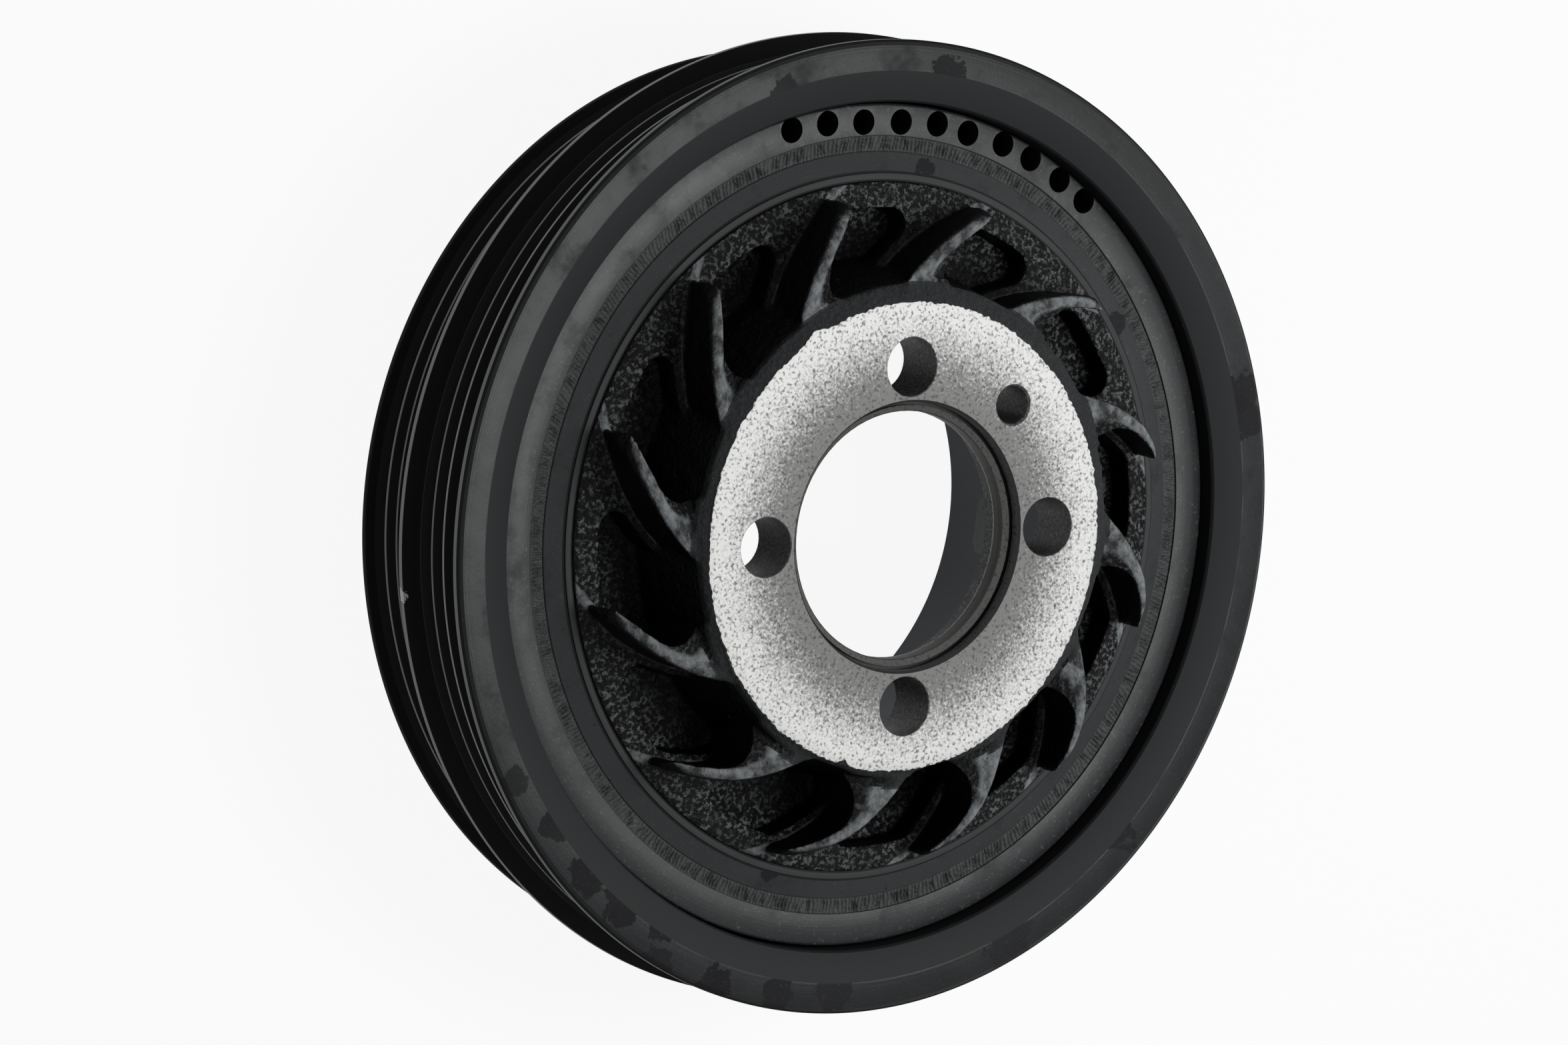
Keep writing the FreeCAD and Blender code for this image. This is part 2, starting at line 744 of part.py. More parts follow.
def draw_pocket(sketch, dims):
    """Draw the pocket between the first vane and the next one round."""
    pitch = Size.of(360) / dims.vane_count
    beside = dims.vane_thickness / 2 + dims.pocket_ledge
    outer = dims.border_inner_radius
    inner = dims.flange_face_radius
    corner = dims.pocket_corner
    origin = (0.0, 0.0)
    reach = dims.vane_centre_reach
    angle = dims.vane_centre_angle
    near = (reach.turned_x(angle), reach.turned_y(angle))
    far = (reach.turned_x(angle + pitch), reach.turned_y(angle + pitch))
    near_centre = (near[0].value, near[1].value)
    far_centre = (far[0].value, far[1].value)
    near_radius = dims.vane_arc_radius + beside
    far_radius = dims.vane_arc_radius - beside
    inset = outer.value - corner.value
    near_corner = circles_meet(
        near_centre, near_radius.value + corner.value, origin, inset, False)
    far_corner = circles_meet(
        far_centre, far_radius.value - corner.value, origin, inset, False)
    near_root = circles_meet(near_centre, near_radius.value, origin, inner.value, False)
    far_root = circles_meet(far_centre, far_radius.value, origin, inner.value, False)
    near_side_end = reach_along(near_centre, near_corner, near_radius.value)
    far_side_end = reach_along(far_centre, far_corner, far_radius.value)
    near_wall_end = reach_along(origin, near_corner, outer.value)
    far_wall_end = reach_along(origin, far_corner, outer.value)
    wall = add_arc(sketch, origin, near_wall_end, far_wall_end)
    near_round = add_arc(sketch, near_corner, near_side_end, near_wall_end)
    near_side = add_arc(sketch, near_centre, near_side_end, near_root)
    root = add_arc(sketch, origin, near_root, far_root)
    far_side = add_arc(sketch, far_centre, far_side_end, far_root)
    far_round = add_arc(sketch, far_corner, far_wall_end, far_side_end)
    for joint in (
        ("Tangent", near_round, 2, wall, 1),
        ("Tangent", near_round, 1, near_side, 1),
        ("Tangent", far_round, 1, wall, 2),
        ("Tangent", far_round, 2, far_side, 1),
        ("Coincident", near_side, 2, root, 1),
        ("Coincident", far_side, 2, root, 2),
        ("Coincident", wall, 3, -1, 1),
        ("Coincident", root, 3, -1, 1),
        ("Equal", near_round, far_round),
    ):
        sketch.addConstraint(Sketcher.Constraint(*joint))
    pin(sketch, near_side, 3, *near)
    pin(sketch, far_side, 3, *far)
    constrain(sketch, near_radius, "Radius", near_side)
    constrain(sketch, far_radius, "Radius", far_side)
    constrain(sketch, outer, "Radius", wall)
    constrain(sketch, inner, "Radius", root)
    constrain(sketch, corner, "Radius", near_round)


def draw_vane(sketch, dims):
    """Draw the plan of the first vane: two arcs, a round tip and a flared root."""
    half = dims.vane_thickness / 2
    flare = dims.vane_flare_radius
    root = dims.vane_root_radius
    tip_reach = dims.vane_tip_reach - half
    outside = dims.vane_arc_radius + half
    inside = dims.vane_arc_radius - half
    place = (
        dims.vane_centre_reach.turned_x(dims.vane_centre_angle),
        dims.vane_centre_reach.turned_y(dims.vane_centre_angle),
    )
    centre = (place[0].value, place[1].value)
    origin = (0.0, 0.0)
    tip = circles_meet(centre, dims.vane_arc_radius.value, origin, tip_reach.value, False)
    flare_reach = root.value + flare.value
    outer_flare = circles_meet(centre, outside.value + flare.value, origin, flare_reach, False)
    inner_flare = circles_meet(centre, inside.value - flare.value, origin, flare_reach, False)
    outer_foot = reach_along(origin, outer_flare, root.value)
    inner_foot = reach_along(origin, inner_flare, root.value)
    outer_start = reach_along(centre, outer_flare, outside.value)
    inner_start = reach_along(centre, inner_flare, inside.value)
    outer_tip = reach_along(centre, tip, outside.value)
    inner_tip = reach_along(centre, tip, inside.value)
    outer_side = add_arc(sketch, centre, outer_tip, outer_start)
    tip_round = add_arc(sketch, tip, inner_tip, outer_tip)
    inner_side = add_arc(sketch, centre, inner_tip, inner_start)
    inner_round = add_arc(sketch, inner_flare, inner_start, inner_foot)
    outer_round = add_arc(sketch, outer_flare, outer_foot, outer_start)
    foot = sketch.addGeometry(Part.LineSegment(
        FreeCAD.Vector(*inner_foot, 0), FreeCAD.Vector(*outer_foot, 0)), False)
    guide = sketch.addGeometry(Part.Circle(
        FreeCAD.Vector(), FreeCAD.Vector(0, 0, 1), root.value), True)
    for joint in (
        ("Tangent", tip_round, 2, outer_side, 1),
        ("Tangent", tip_round, 1, inner_side, 1),
        ("Tangent", outer_side, 2, outer_round, 2),
        ("Tangent", inner_side, 2, inner_round, 1),
        ("Coincident", inner_round, 2, foot, 1),
        ("Coincident", outer_round, 1, foot, 2),
        ("Coincident", inner_side, 3, outer_side, 3),
        ("Coincident", guide, 3, -1, 1),
        ("Tangent", inner_round, 2, guide),
        ("Tangent", outer_round, 1, guide),
        ("Equal", inner_round, outer_round),
    ):
        sketch.addConstraint(Sketcher.Constraint(*joint))
    pin(sketch, outer_side, 3, *place)
    constrain(sketch, outside, "Radius", outer_side)
    constrain(sketch, inside, "Radius", inner_side)
    constrain(sketch, flare, "Radius", inner_round)
    constrain(sketch, root, "Radius", guide)
    constrain(sketch, tip_reach, "Distance", -1, 1, tip_round, 3)


def add_pockets(document, body, dims):
    """Cut the cast pockets between the vanes into the web."""
    sketch = make_sketch(body, "pocket_plan", "XY_Plane", web_top(dims))
    draw_pocket(sketch, dims)
    pocket = cut_into(body, sketch, "pocket", dims.pocket_depth)
    around(body, pocket, "pockets", dims.vane_count)
    document.recompute()


def add_boss(document, body, dims):
    """Loft the cast boss, a little off the axis, round the machined flange."""
    none = Size.of(0)
    top = flange_top(dims)
    sections = (
        ("boss_face", top, none, dims.flange_face_radius),
        ("boss_edge", top - dims.boss_edge_drop, dims.boss_offset, dims.boss_radius),
        ("boss_foot", web_top(dims) - dims.pocket_depth, dims.boss_offset, dims.boss_foot_radius),
    )
    sketches = []
    for name, height, offset, radius in sections:
        sketch = make_sketch(body, name, "XY_Plane", height)
        add_circle(sketch, none, offset, radius)
        sketches.append(sketch)
    boss = body.newObject("PartDesign::AdditiveLoft", "boss")
    boss.Profile = sketches[0]
    boss.Sections = sketches[1:]
    boss.Ruled = True
    document.recompute()


def add_vanes(document, body, dims):
    """Raise the curved fan vanes and round their crests down to the tips."""
    crest = flange_top(dims) - dims.vane_crest_drop
    floor = web_top(dims) - dims.pocket_depth
    sketch = make_sketch(body, "vane_plan", "XY_Plane", crest)
    draw_vane(sketch, dims)
    vane = body.newObject("PartDesign::Pad", "vane")
    vane.Profile = sketch
    vane.Reversed = True
    vane.setExpression("Length", (crest - floor).text)
    vane.setExpression("TaperAngle", (-dims.vane_draft).text)
    around(body, vane, "vanes", dims.vane_count)
    document.recompute()


def draw_crest(sketch, dims):
    """Draw the region above the falling ends of the vane crests."""
    crest = flange_top(dims) - dims.vane_crest_drop
    nose = dims.vane_nose_radius
    start = dims.vane_nose_reach - nose
    low = crest - nose
    clear = dims.vane_tip_reach + nose
    above = crest + nose
    centre = (start.value, low.value)
    fall = add_arc(sketch, centre, (dims.vane_nose_reach.value, low.value), (start.value, crest.value))
    corners = ((start, crest), (start, above), (clear, above), (clear, low), (dims.vane_nose_reach, low))
    points = [FreeCAD.Vector(x.value, y.value, 0) for x, y in corners]
    sides = [
        sketch.addGeometry(Part.LineSegment(a, b), False)
        for a, b in zip(points[:-1], points[1:])
    ]
    joints = [("Coincident", a, 2, b, 1) for a, b in zip(sides[:-1], sides[1:])]
    joints += [
        ("Coincident", fall, 2, sides[0], 1),
        ("Coincident", sides[-1], 2, fall, 1),
        ("Vertical", sides[0]),
        ("Horizontal", sides[1]),
        ("Vertical", sides[2]),
        ("Horizontal", sides[3]),
    ]
    for joint in joints:
        sketch.addConstraint(Sketcher.Constraint(*joint))
    pin(sketch, fall, 3, start, low)
    constrain(sketch, nose, "Radius", fall)
    pin(sketch, sides[1], 2, clear, above)


def round_crests(document, body, dims):
    """Turn the vanes' crests down to their tips."""
    sketch = make_sketch(body, "crest_section")
    draw_crest(sketch, dims)
    revolve(body, sketch, "crest_turned", "PartDesign::Groove")
    document.recompute()


def bore_hub(document, body, dims):
    """Bore the flange and the rear cup."""
    sketch = make_sketch(body, "bore_section")
    add_outline(sketch, hub_bore_section(dims))
    revolve(body, sketch, "bore", "PartDesign::Groove")
    document.recompute()


def drill_hub(document, body, dims):
    """Drill and chamfer the bolt holes and the dowel hole."""
    none = Size.of(0)
    top = flange_top(dims)
    rear = top - dims.flange_thickness
    bolt_plan = make_sketch(body, "bolt_hole_place", "XY_Plane", top)
    add_circle(bolt_plan, dims.bolt_circle_radius, none, dims.bolt_hole_radius)
    bolt_hole = cut_into(body, bolt_plan, "bolt_hole", dims.flange_thickness)
    bolt_holes = around(body, bolt_hole, "bolt_holes", dims.bolt_hole_count)
    document.recompute()
    edges = circle_edges(bolt_holes.Shape, dims.bolt_hole_radius, (top, rear))
    dress(document, body, "PartDesign::Chamfer", "bolt_hole_chamfers", bolt_holes, edges,
          dims.bolt_hole_chamfer)
    dowel_plan = make_sketch(body, "dowel_hole_place", "XY_Plane", top)
    add_circle(dowel_plan, dims.dowel_reach.turned_x(dims.dowel_angle),
               dims.dowel_reach.turned_y(dims.dowel_angle), dims.dowel_radius)
    dowel_hole = cut_into(body, dowel_plan, "dowel_hole", dims.flange_thickness)
    document.recompute()
    edges = circle_edges(dowel_hole.Shape, dims.dowel_radius, (top, rear))
    dress(document, body, "PartDesign::Chamfer", "dowel_hole_chamfers", dowel_hole, edges,
          dims.dowel_chamfer)


def make_hub(document, dims):
    """The cast and machined hub."""
    body = turned(document, "hub", hub_blank_section(dims))
    add_pockets(document, body, dims)
    add_boss(document, body, dims)
    add_vanes(document, body, dims)
    round_crests(document, body, dims)
    bore_hub(document, body, dims)
    drill_hub(document, body, dims)
    return body


# Decoupled drive of the belt rim: pressed disc on a plain bearing, rubber and carrier ring.

def sleeve_top(dims):
    """Height where the drive disc's sleeve meets the bearing flange."""
    return web_rear(dims) - dims.shoulder_height - dims.bush_flange


def make_drive_disc(document, dims):
    """The deep-drawn disc that carries the belt rim on the hub's journal."""
    rear = dims.disc_inset
    front = rear + dims.disc_gauge
    bore = dims.sleeve_bore_radius
    sleeve = bore + dims.disc_gauge
    outer = dims.rim_rear_bore_radius
    body = turned(document, "drive_disc", (
        (bore, rear),
        (outer, rear),
        (outer, rear + dims.disc_flange_height),
        (outer - dims.disc_gauge, rear + dims.disc_flange_height),
        (outer - dims.disc_gauge, front),
        (sleeve, front),
        (sleeve, sleeve_top(dims)),
        (bore, sleeve_top(dims)),
    ))
    edges = circle_edges(body.Shape, outer, (rear,)) + circle_edges(body.Shape, bore, (rear,))
    dress(document, body, "PartDesign::Fillet", "drive_disc_bends", body.Tip, edges,
          dims.disc_bend)
    return body


def make_plain_bearing(document, dims):
    """The flanged bush between the hub's journal and the drive disc's sleeve."""
    bottom = dims.disc_inset
    top = sleeve_top(dims)
    outer = dims.sleeve_bore_radius
    return turned(document, "plain_bearing", (
        (dims.cup_radius, bottom),
        (outer, bottom),
        (outer, top),
        (dims.shoulder_radius, top),
        (dims.shoulder_radius, top + dims.bush_flange),
        (dims.cup_radius, top + dims.bush_flange),
    ))


def make_carrier_ring(document, dims):
    """The flanged ring pressed into the hub rim, which the isolation rubber is bonded to."""
    top = damper_rear(dims) + dims.carrier_reach
    seat = damper_rear(dims)
    bottom = seat - dims.carrier_gauge
    inner = dims.carrier_bore_radius
    flange = dims.hub_rim_bore_radius + dims.carrier_flange_width
    return turned(document, "carrier_ring", (
        (inner, bottom),
        (flange, bottom),
        (flange, seat),
        (dims.hub_rim_bore_radius, seat),
        (dims.hub_rim_bore_radius, top),
        (inner, top),
    ))


def make_isolation_rubber(document, dims):
    """The rubber ring that turns the belt rim from the hub."""
    inner = dims.sleeve_bore_radius + dims.disc_gauge
    outer = dims.carrier_bore_radius
    bottom = damper_rear(dims) - dims.carrier_gauge + dims.rubber_end_gap
    top = sleeve_top(dims) - dims.rubber_end_gap
    return turned(document, "isolation_rubber", (
        (inner, bottom),
        (outer, bottom),
        (outer, top),
        (inner, top),
    ))


def make_thrust_washer(document, dims):
    """The washer that holds the drive disc up on its bearing."""
    top = dims.disc_inset
    bottom = top - dims.washer_thickness
    outer = dims.cup_radius + dims.washer_width
    return turned(document, "thrust_washer", (
        (dims.cup_radius, bottom),
        (outer, bottom),
        (outer, top),
        (dims.cup_radius, top),
    ))


def make_retaining_ring(document, dims):
    """The snap ring in the hub cup's groove, with its open mouth."""
    top = snap_top(dims)
    bottom = top - dims.snap_thickness
    seat = dims.cup_radius - dims.snap_groove_depth
    outer = seat + dims.snap_width
    body = turned(document, "retaining_ring", (
        (seat, bottom),
        (outer, bottom),
        (outer, top),
        (seat, top),
    ))
    ring = body.Tip
    closed_angle = Size.of(360) - dims.snap_mouth_angle
    ring.setExpression("Angle", closed_angle.text)
    document.recompute()
    return body


# Checks and files.

REMOVING = ("PartDesign::Pocket", "PartDesign::Groove", "PartDesign::Chamfer", "PartDesign::Fillet")
ADDING = ("PartDesign::Pad", "PartDesign::AdditiveLoft")


def check_document(document, bodies):
    """Stop where an object failed, a piece isn't one sound solid or a feature did nothing."""
    for item in document.Objects:
        if "Invalid" in item.State or "Error" in item.State:
            raise RuntimeError(f"{item.Name} failed: {item.getStatusString()}")
    for body in bodies:
        shape = body.Shape
        if shape.isNull() or not shape.isValid() or len(shape.Solids) != 1:
            raise RuntimeError(f"{body.Label} is not one valid solid")
        for feature in body.Group:
            check_effect(feature)


def check_effect(feature):
    """Compare a feature's volume with that of the shape it was applied to."""
    base = getattr(feature, "BaseFeature", None)
    if base is None:
        return
    change = feature.Shape.Volume - base.Shape.Volume
    original = feature.Originals[0] if hasattr(feature, "Originals") else feature
    if original.TypeId in REMOVING and change >= 0:
        raise RuntimeError(f"{feature.Name} removed nothing")
    if original.TypeId in ADDING and change <= 0:
        raise RuntimeError(f"{feature.Name} added nothing")


def write_steps(bodies):
    """Write each piece to the file named after its node."""
    os.makedirs("parts", exist_ok=True)
    for body in bodies:
        body.Shape.exportStep(f"parts/{body.Label}.step")
        print(f"{body.Label}: {body.Shape.Volume / 1000:.2f} cm3")


def main():
    """Build every piece, check the document and write the files."""
    document = FreeCAD.newDocument("crankshaft_pulley")
    dims = Sizes(document)
    makers = (
        make_hub,
        make_damper_rubber,
        make_inertia_ring,
        make_belt_rim,
        make_drive_disc,
        make_plain_bearing,
        make_carrier_ring,
        make_isolation_rubber,
        make_thrust_washer,
        make_retaining_ring,
    )
    bodies = [make(document, dims) for make in makers]
    document.recompute()
    check_document(document, bodies)
    write_steps(bodies)


main()
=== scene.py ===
"""Crankshaft pulley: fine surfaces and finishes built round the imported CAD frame.

The pulley lies on its rear end at z = 0, its axis is +Z and +X passes through a bolt hole.
Sizes in this file are millimetres unless a name says otherwise.
"""

import logging
import math
from dataclasses import dataclass
from enum import Enum
from typing import Any, Callable, Sequence

import bmesh
import bpy
import numpy as np
from mathutils import Matrix, Vector, noise


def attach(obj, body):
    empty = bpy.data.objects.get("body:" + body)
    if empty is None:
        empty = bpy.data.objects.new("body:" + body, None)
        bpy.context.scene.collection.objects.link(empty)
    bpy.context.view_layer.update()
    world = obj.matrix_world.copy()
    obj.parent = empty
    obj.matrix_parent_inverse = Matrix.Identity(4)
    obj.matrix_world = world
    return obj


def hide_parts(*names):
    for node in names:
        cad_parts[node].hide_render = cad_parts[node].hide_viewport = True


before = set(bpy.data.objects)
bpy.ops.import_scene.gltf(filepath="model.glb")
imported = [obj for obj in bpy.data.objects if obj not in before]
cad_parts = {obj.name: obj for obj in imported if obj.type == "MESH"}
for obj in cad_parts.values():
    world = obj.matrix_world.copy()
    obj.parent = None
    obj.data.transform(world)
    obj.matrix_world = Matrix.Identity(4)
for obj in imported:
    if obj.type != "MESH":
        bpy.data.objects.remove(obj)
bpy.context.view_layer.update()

MM = 0.001
BODY = "root"
log = logging.getLogger("crankshaft_pulley")

Point = tuple[float, float]
Triple = tuple[float, float, float]
Socket = bpy.types.NodeSocket
Tree = bpy.types.NodeTree
Object = bpy.types.Object


class Cut(Enum):
    """What a cutting tool leaves of a piece."""

    REMOVE = "DIFFERENCE"
    KEEP = "INTERSECT"


# Colours and nodes.

def linear(colour: str) -> tuple[float, float, float, float]:
    """Turn an sRGB hex colour into the linear colour that a shader takes.

    Args:
        colour: "#rrggbb".

    Returns:
        Linear red, green and blue, and an alpha of 1.
    """
    def channel(text: str) -> float:
        """Turn one channel, two hex digits, into its linear value."""
        value = int(text, 16) / 255
        return value / 12.92 if value <= 0.04045 else ((value + 0.055) / 1.055) ** 2.4

    return channel(colour[1:3]), channel(colour[3:5]), channel(colour[5:7]), 1.0


def add_node(tree: Tree, kind: str, inputs: dict[Any, Any] | None = None,
             **settings: Any) -> bpy.types.Node:
    """Add a node with its settings, and link or set its inputs.

    Args:
        tree: The tree that gets the node.
        kind: The node's type name without ShaderNode in front.
        inputs: Input name or number, and the socket to link or the value to set.
        settings: Attributes of the node.

    Returns:
        The new node.
    """
    node = tree.nodes.new("ShaderNode" + kind)
    for name, value in settings.items():
        setattr(node, name, value)
    for key, value in (inputs or {}).items():
        if isinstance(value, Socket):
            tree.links.new(value, node.inputs[key])
        else:
            node.inputs[key].default_value = value
    return node


def per_metre(size: float) -> float:
    """Return the texture scale at which a feature measures size millimetres."""
    return 1 / (size * MM)


# Meshes.

def new_object(name: str, mesh: bpy.types.Mesh) -> Object:
    """Put a mesh into the scene as an object at the frame's origin.

    Args:
        name: The object's name.
        mesh: Its mesh, in metres.

    Returns:
        The linked object.
    """
    thing = bpy.data.objects.new(name, mesh)
    bpy.context.scene.collection.objects.link(thing)
    return thing


def smooth(mesh: bpy.types.Mesh, angle: float = 32.0) -> None:
    """Shade a mesh smooth, apart from edges sharper than angle degrees."""
    mesh.polygons.foreach_set("use_smooth", [True] * len(mesh.polygons))
    mesh.set_sharp_from_angle(angle=math.radians(angle))


def rounded(corners: Sequence[Triple], steps: int = 3) -> list[Point]:
    """Round the corners of a closed section.

    Args:
        corners: Radius, height and rounding of each corner.
        steps: Straight pieces in each rounding.

    Returns:
        The points of the section.
    """
    points: list[Point] = []
    count = len(corners)
    for index, (radius, height, rounding) in enumerate(corners):
        here = Vector((radius, height))
        before = Vector(corners[index - 1][:2]) - here
        after = Vector(corners[(index + 1) % count][:2]) - here
        turn = before.angle(after)
        if rounding <= 0 or turn > math.radians(178):
            points.append((radius, height))
            continue
        back = min(rounding / math.tan(turn / 2), 0.48 * before.length, 0.48 * after.length)
        size = back * math.tan(turn / 2)
        middle = here + (before.normalized() + after.normalized()).normalized() * (
            size / math.sin(turn / 2))
        start = here + before.normalized() * back - middle
        sweep = start.angle_signed(here + after.normalized() * back - middle)
        for step in range(steps + 1):
            spoke = start.copy()
            spoke.rotate(Matrix.Rotation(-sweep * step / steps, 2))
            points.append((middle.x + spoke.x, middle.y + spoke.y))
    return points


Warp = Callable[[np.ndarray, np.ndarray, np.ndarray], tuple[np.ndarray, np.ndarray]]


def turned(name: str, section: Sequence[Point], segments: int, warp: Warp | None = None,
           smooth_up_to: float = 32.0) -> Object:
    """Turn a closed section round the axis.

    Args:
        name: The object's name.
        section: Radius and height of each point.
        segments: Steps round the axis.
        warp: Changes radius and height, given radius, height and angle.
        smooth_up_to: Angle in degrees up to which edges are shaded smooth.

    Returns:
        The turned object.
    """
    profile = np.array(section)
    angle = np.linspace(0, 2 * math.pi, segments, endpoint=False)[:, None]
    radius = np.repeat(profile[None, :, 0], segments, axis=0)
    height = np.repeat(profile[None, :, 1], segments, axis=0)
    angle = np.repeat(angle, len(profile), axis=1)
    if warp is not None:
        radius, height = warp(radius, height, angle)
    places = np.stack((radius * np.cos(angle), radius * np.sin(angle), height), axis=-1)
    around = np.arange(segments)[:, None]
    along = np.arange(len(profile))[None, :]
    next_around = (around + 1) % segments
    next_along = (along + 1) % len(profile)
    count = len(profile)
    faces = np.stack((
        around * count + along, around * count + next_along,
        next_around * count + next_along, next_around * count + along,
    ), axis=-1).reshape(-1, 4)
    mesh = bpy.data.meshes.new(name)
    mesh.from_pydata((places.reshape(-1, 3) * MM).tolist(), [], faces.tolist())
    face_outwards(mesh)
    smooth(mesh, smooth_up_to)
    return new_object(name, mesh)


def face_outwards(mesh: bpy.types.Mesh) -> None:
    """Turn the faces of a closed mesh outwards."""
    shell = bmesh.new()
    shell.from_mesh(mesh)
    bmesh.ops.recalc_face_normals(shell, faces=shell.faces)
    if shell.calc_volume(signed=True) < 0:
        bmesh.ops.reverse_faces(shell, faces=shell.faces)
    shell.to_mesh(mesh)
    shell.free()


def copied_node(node: str, name: str) -> Object:
    """Copy a CAD node's surface as a closed mesh of its own.

    Args:
        node: The CAD node.
        name: The new object's name.

    Returns:
        The copy.
    """
    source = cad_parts[node]
    mesh = source.data.copy()
    mesh.transform(source.matrix_world)
    mesh.materials.clear()
    shell = bmesh.new()
    shell.from_mesh(mesh)
    bmesh.ops.remove_doubles(shell, verts=shell.verts, dist=0.002 * MM)
    shell.to_mesh(mesh)
    shell.free()
    return new_object(name, mesh)


def settle(thing: Object) -> None:
    """Apply the modifiers of an object."""
    bpy.context.view_layer.update()
    graph = bpy.context.evaluated_depsgraph_get()
    mesh = bpy.data.meshes.new_from_object(thing.evaluated_get(graph))
    thing.modifiers.clear()
    thing.data = mesh


def combine(thing: Object, tool: Object, cut: Cut) -> None:
    """Remove the tool's space from an object or keep only that space, and drop the tool.

    Args:
        thing: The object that changes.
        tool: The other solid.
        cut: What is left of the object.
    """
    change = thing.modifiers.new("cut", "BOOLEAN")
    change.operation = cut.value
    change.object = tool
    change.solver = "EXACT"
    settle(thing)
    bpy.data.objects.remove(tool)


def drills(name: str, holes: Sequence[Triple], bottom: float, top: float) -> Object:
    """Make round cutters for a row of holes.

    Args:
        name: The object's name.
        holes: Reach from the axis, direction in degrees and radius of each hole.
        bottom: Height of the holes' floors.
        top: Height above the face that is drilled.

    Returns:
        One object with all the cutters.
    """
    sides = 48
    shell = bmesh.new()
    for reach, direction, radius in holes:
        turn = math.radians(direction)
        middle = Vector((reach * math.cos(turn), reach * math.sin(turn), (bottom + top) / 2))
        bmesh.ops.create_cone(
            shell, cap_ends=True, segments=sides, radius1=radius * MM, radius2=radius * MM,
            depth=(top - bottom) * MM, matrix=Matrix.Translation(middle * MM))
    mesh = bpy.data.meshes.new(name)
    shell.to_mesh(mesh)
    shell.free()
    return new_object(name, mesh)


def wander(places: np.ndarray, size: float, seed: float = 0.0) -> np.ndarray:
    """Return smooth noise between about -1 and 1 at each place.

    Args:
        places: Points in millimetres, one row each.
        size: Size of the noise's lumps.
        seed: Shift that gives another pattern.

    Returns:
        One value for each point.
    """
    return np.array([noise.noise(Vector(row)) for row in (places / size + seed).tolist()])


def read_points(mesh: bpy.types.Mesh) -> np.ndarray:
    """Return the points of a mesh in millimetres."""
    flat = np.empty(len(mesh.vertices) * 3)
    mesh.vertices.foreach_get("co", flat)
    return flat.reshape(-1, 3) / MM


def write_points(mesh: bpy.types.Mesh, places: np.ndarray) -> None:
    """Set the points of a mesh, given in millimetres."""
    mesh.vertices.foreach_set("co", (places * MM).reshape(-1))
    mesh.update()


# Finishes.

def layered(tree: Tree, ground: str, layers: Sequence[tuple[Socket, str | Socket]]) -> Socket:
    """Lay colours over each other.

    Args:
        tree: The material's tree.
        ground: The lowest colour.
        layers: How much of each colour shows, and the colour.

    Returns:
        The colour with all layers.
    """
    colour: Any = linear(ground)
    for share, over in layers:
        colour = add_node(tree, "Mix", {
            0: share, 6: colour, 7: linear(over) if isinstance(over, str) else over},
            data_type="RGBA").outputs[2]
    return colour


@dataclass(frozen=True)
class Finish:
    """A material with a name, a colour and a roughness."""

    name: str
    colour: str
    roughness: float

    def start(self) -> tuple[bpy.types.Material, Tree, bpy.types.Node]:
        """Begin the material.

        Returns:
            The material, its node tree and its shader.
        """
        material = bpy.data.materials.new(self.name)
        material.use_nodes = True
        tree = material.node_tree
        tree.nodes.clear()
        shader = add_node(tree, "BsdfPrincipled", {
            "Base Color": linear(self.colour), "Roughness": self.roughness})
        add_node(tree, "OutputMaterial", {"Surface": shader.outputs["BSDF"]})
        return material, tree, shader

    def cover(self, shader: bpy.types.Node, colour: Socket, relief: Socket, strength: float,
              depth: float) -> None:
        """Link a colour and a relief to the shader.

        Args:
            shader: The material's shader.
            colour: The surface's colour.
            relief: Its height, between about 0 and 1.
            strength: How strongly the relief shows.
            depth: The relief's depth in millimetres.
        """
        tree = shader.id_data
        tree.links.new(colour, shader.inputs["Base Color"])
        bump = add_node(tree, "Bump", {
            "Strength": strength, "Distance": depth * MM, "Height": relief})
        tree.links.new(bump.outputs["Normal"], shader.inputs["Normal"])

    def material(self) -> bpy.types.Material:
        """Build the material; each finish has its own way."""
        raise NotImplementedError


@dataclass
class Place:
    """Sockets that say where on the pulley a point of a surface lies."""

    point: Socket
    across: Socket
    up: Socket
    radius: Socket
    height: Socket

    @classmethod
    def of(cls, tree: Tree) -> "Place":
        """Add the nodes that give the place in a material's tree.

        Args:
            tree: The material's tree.

        Returns:
            The sockets; radius, height, across (+X) and up (+Y) in millimetres.
        """
        point = add_node(tree, "TexCoord").outputs["Object"]
        scaled = add_node(tree, "VectorMath", {0: point, "Scale": 1 / MM},
                          operation="SCALE").outputs["Vector"]
        parts = add_node(tree, "SeparateXYZ", {0: scaled})
        flat = add_node(tree, "CombineXYZ", {0: parts.outputs[0], 1: parts.outputs[1]})
        radius = add_node(tree, "VectorMath", {0: flat.outputs[0]}, operation="LENGTH")
        return cls(point, parts.outputs[0], parts.outputs[1], radius.outputs["Value"],
                   parts.outputs[2])


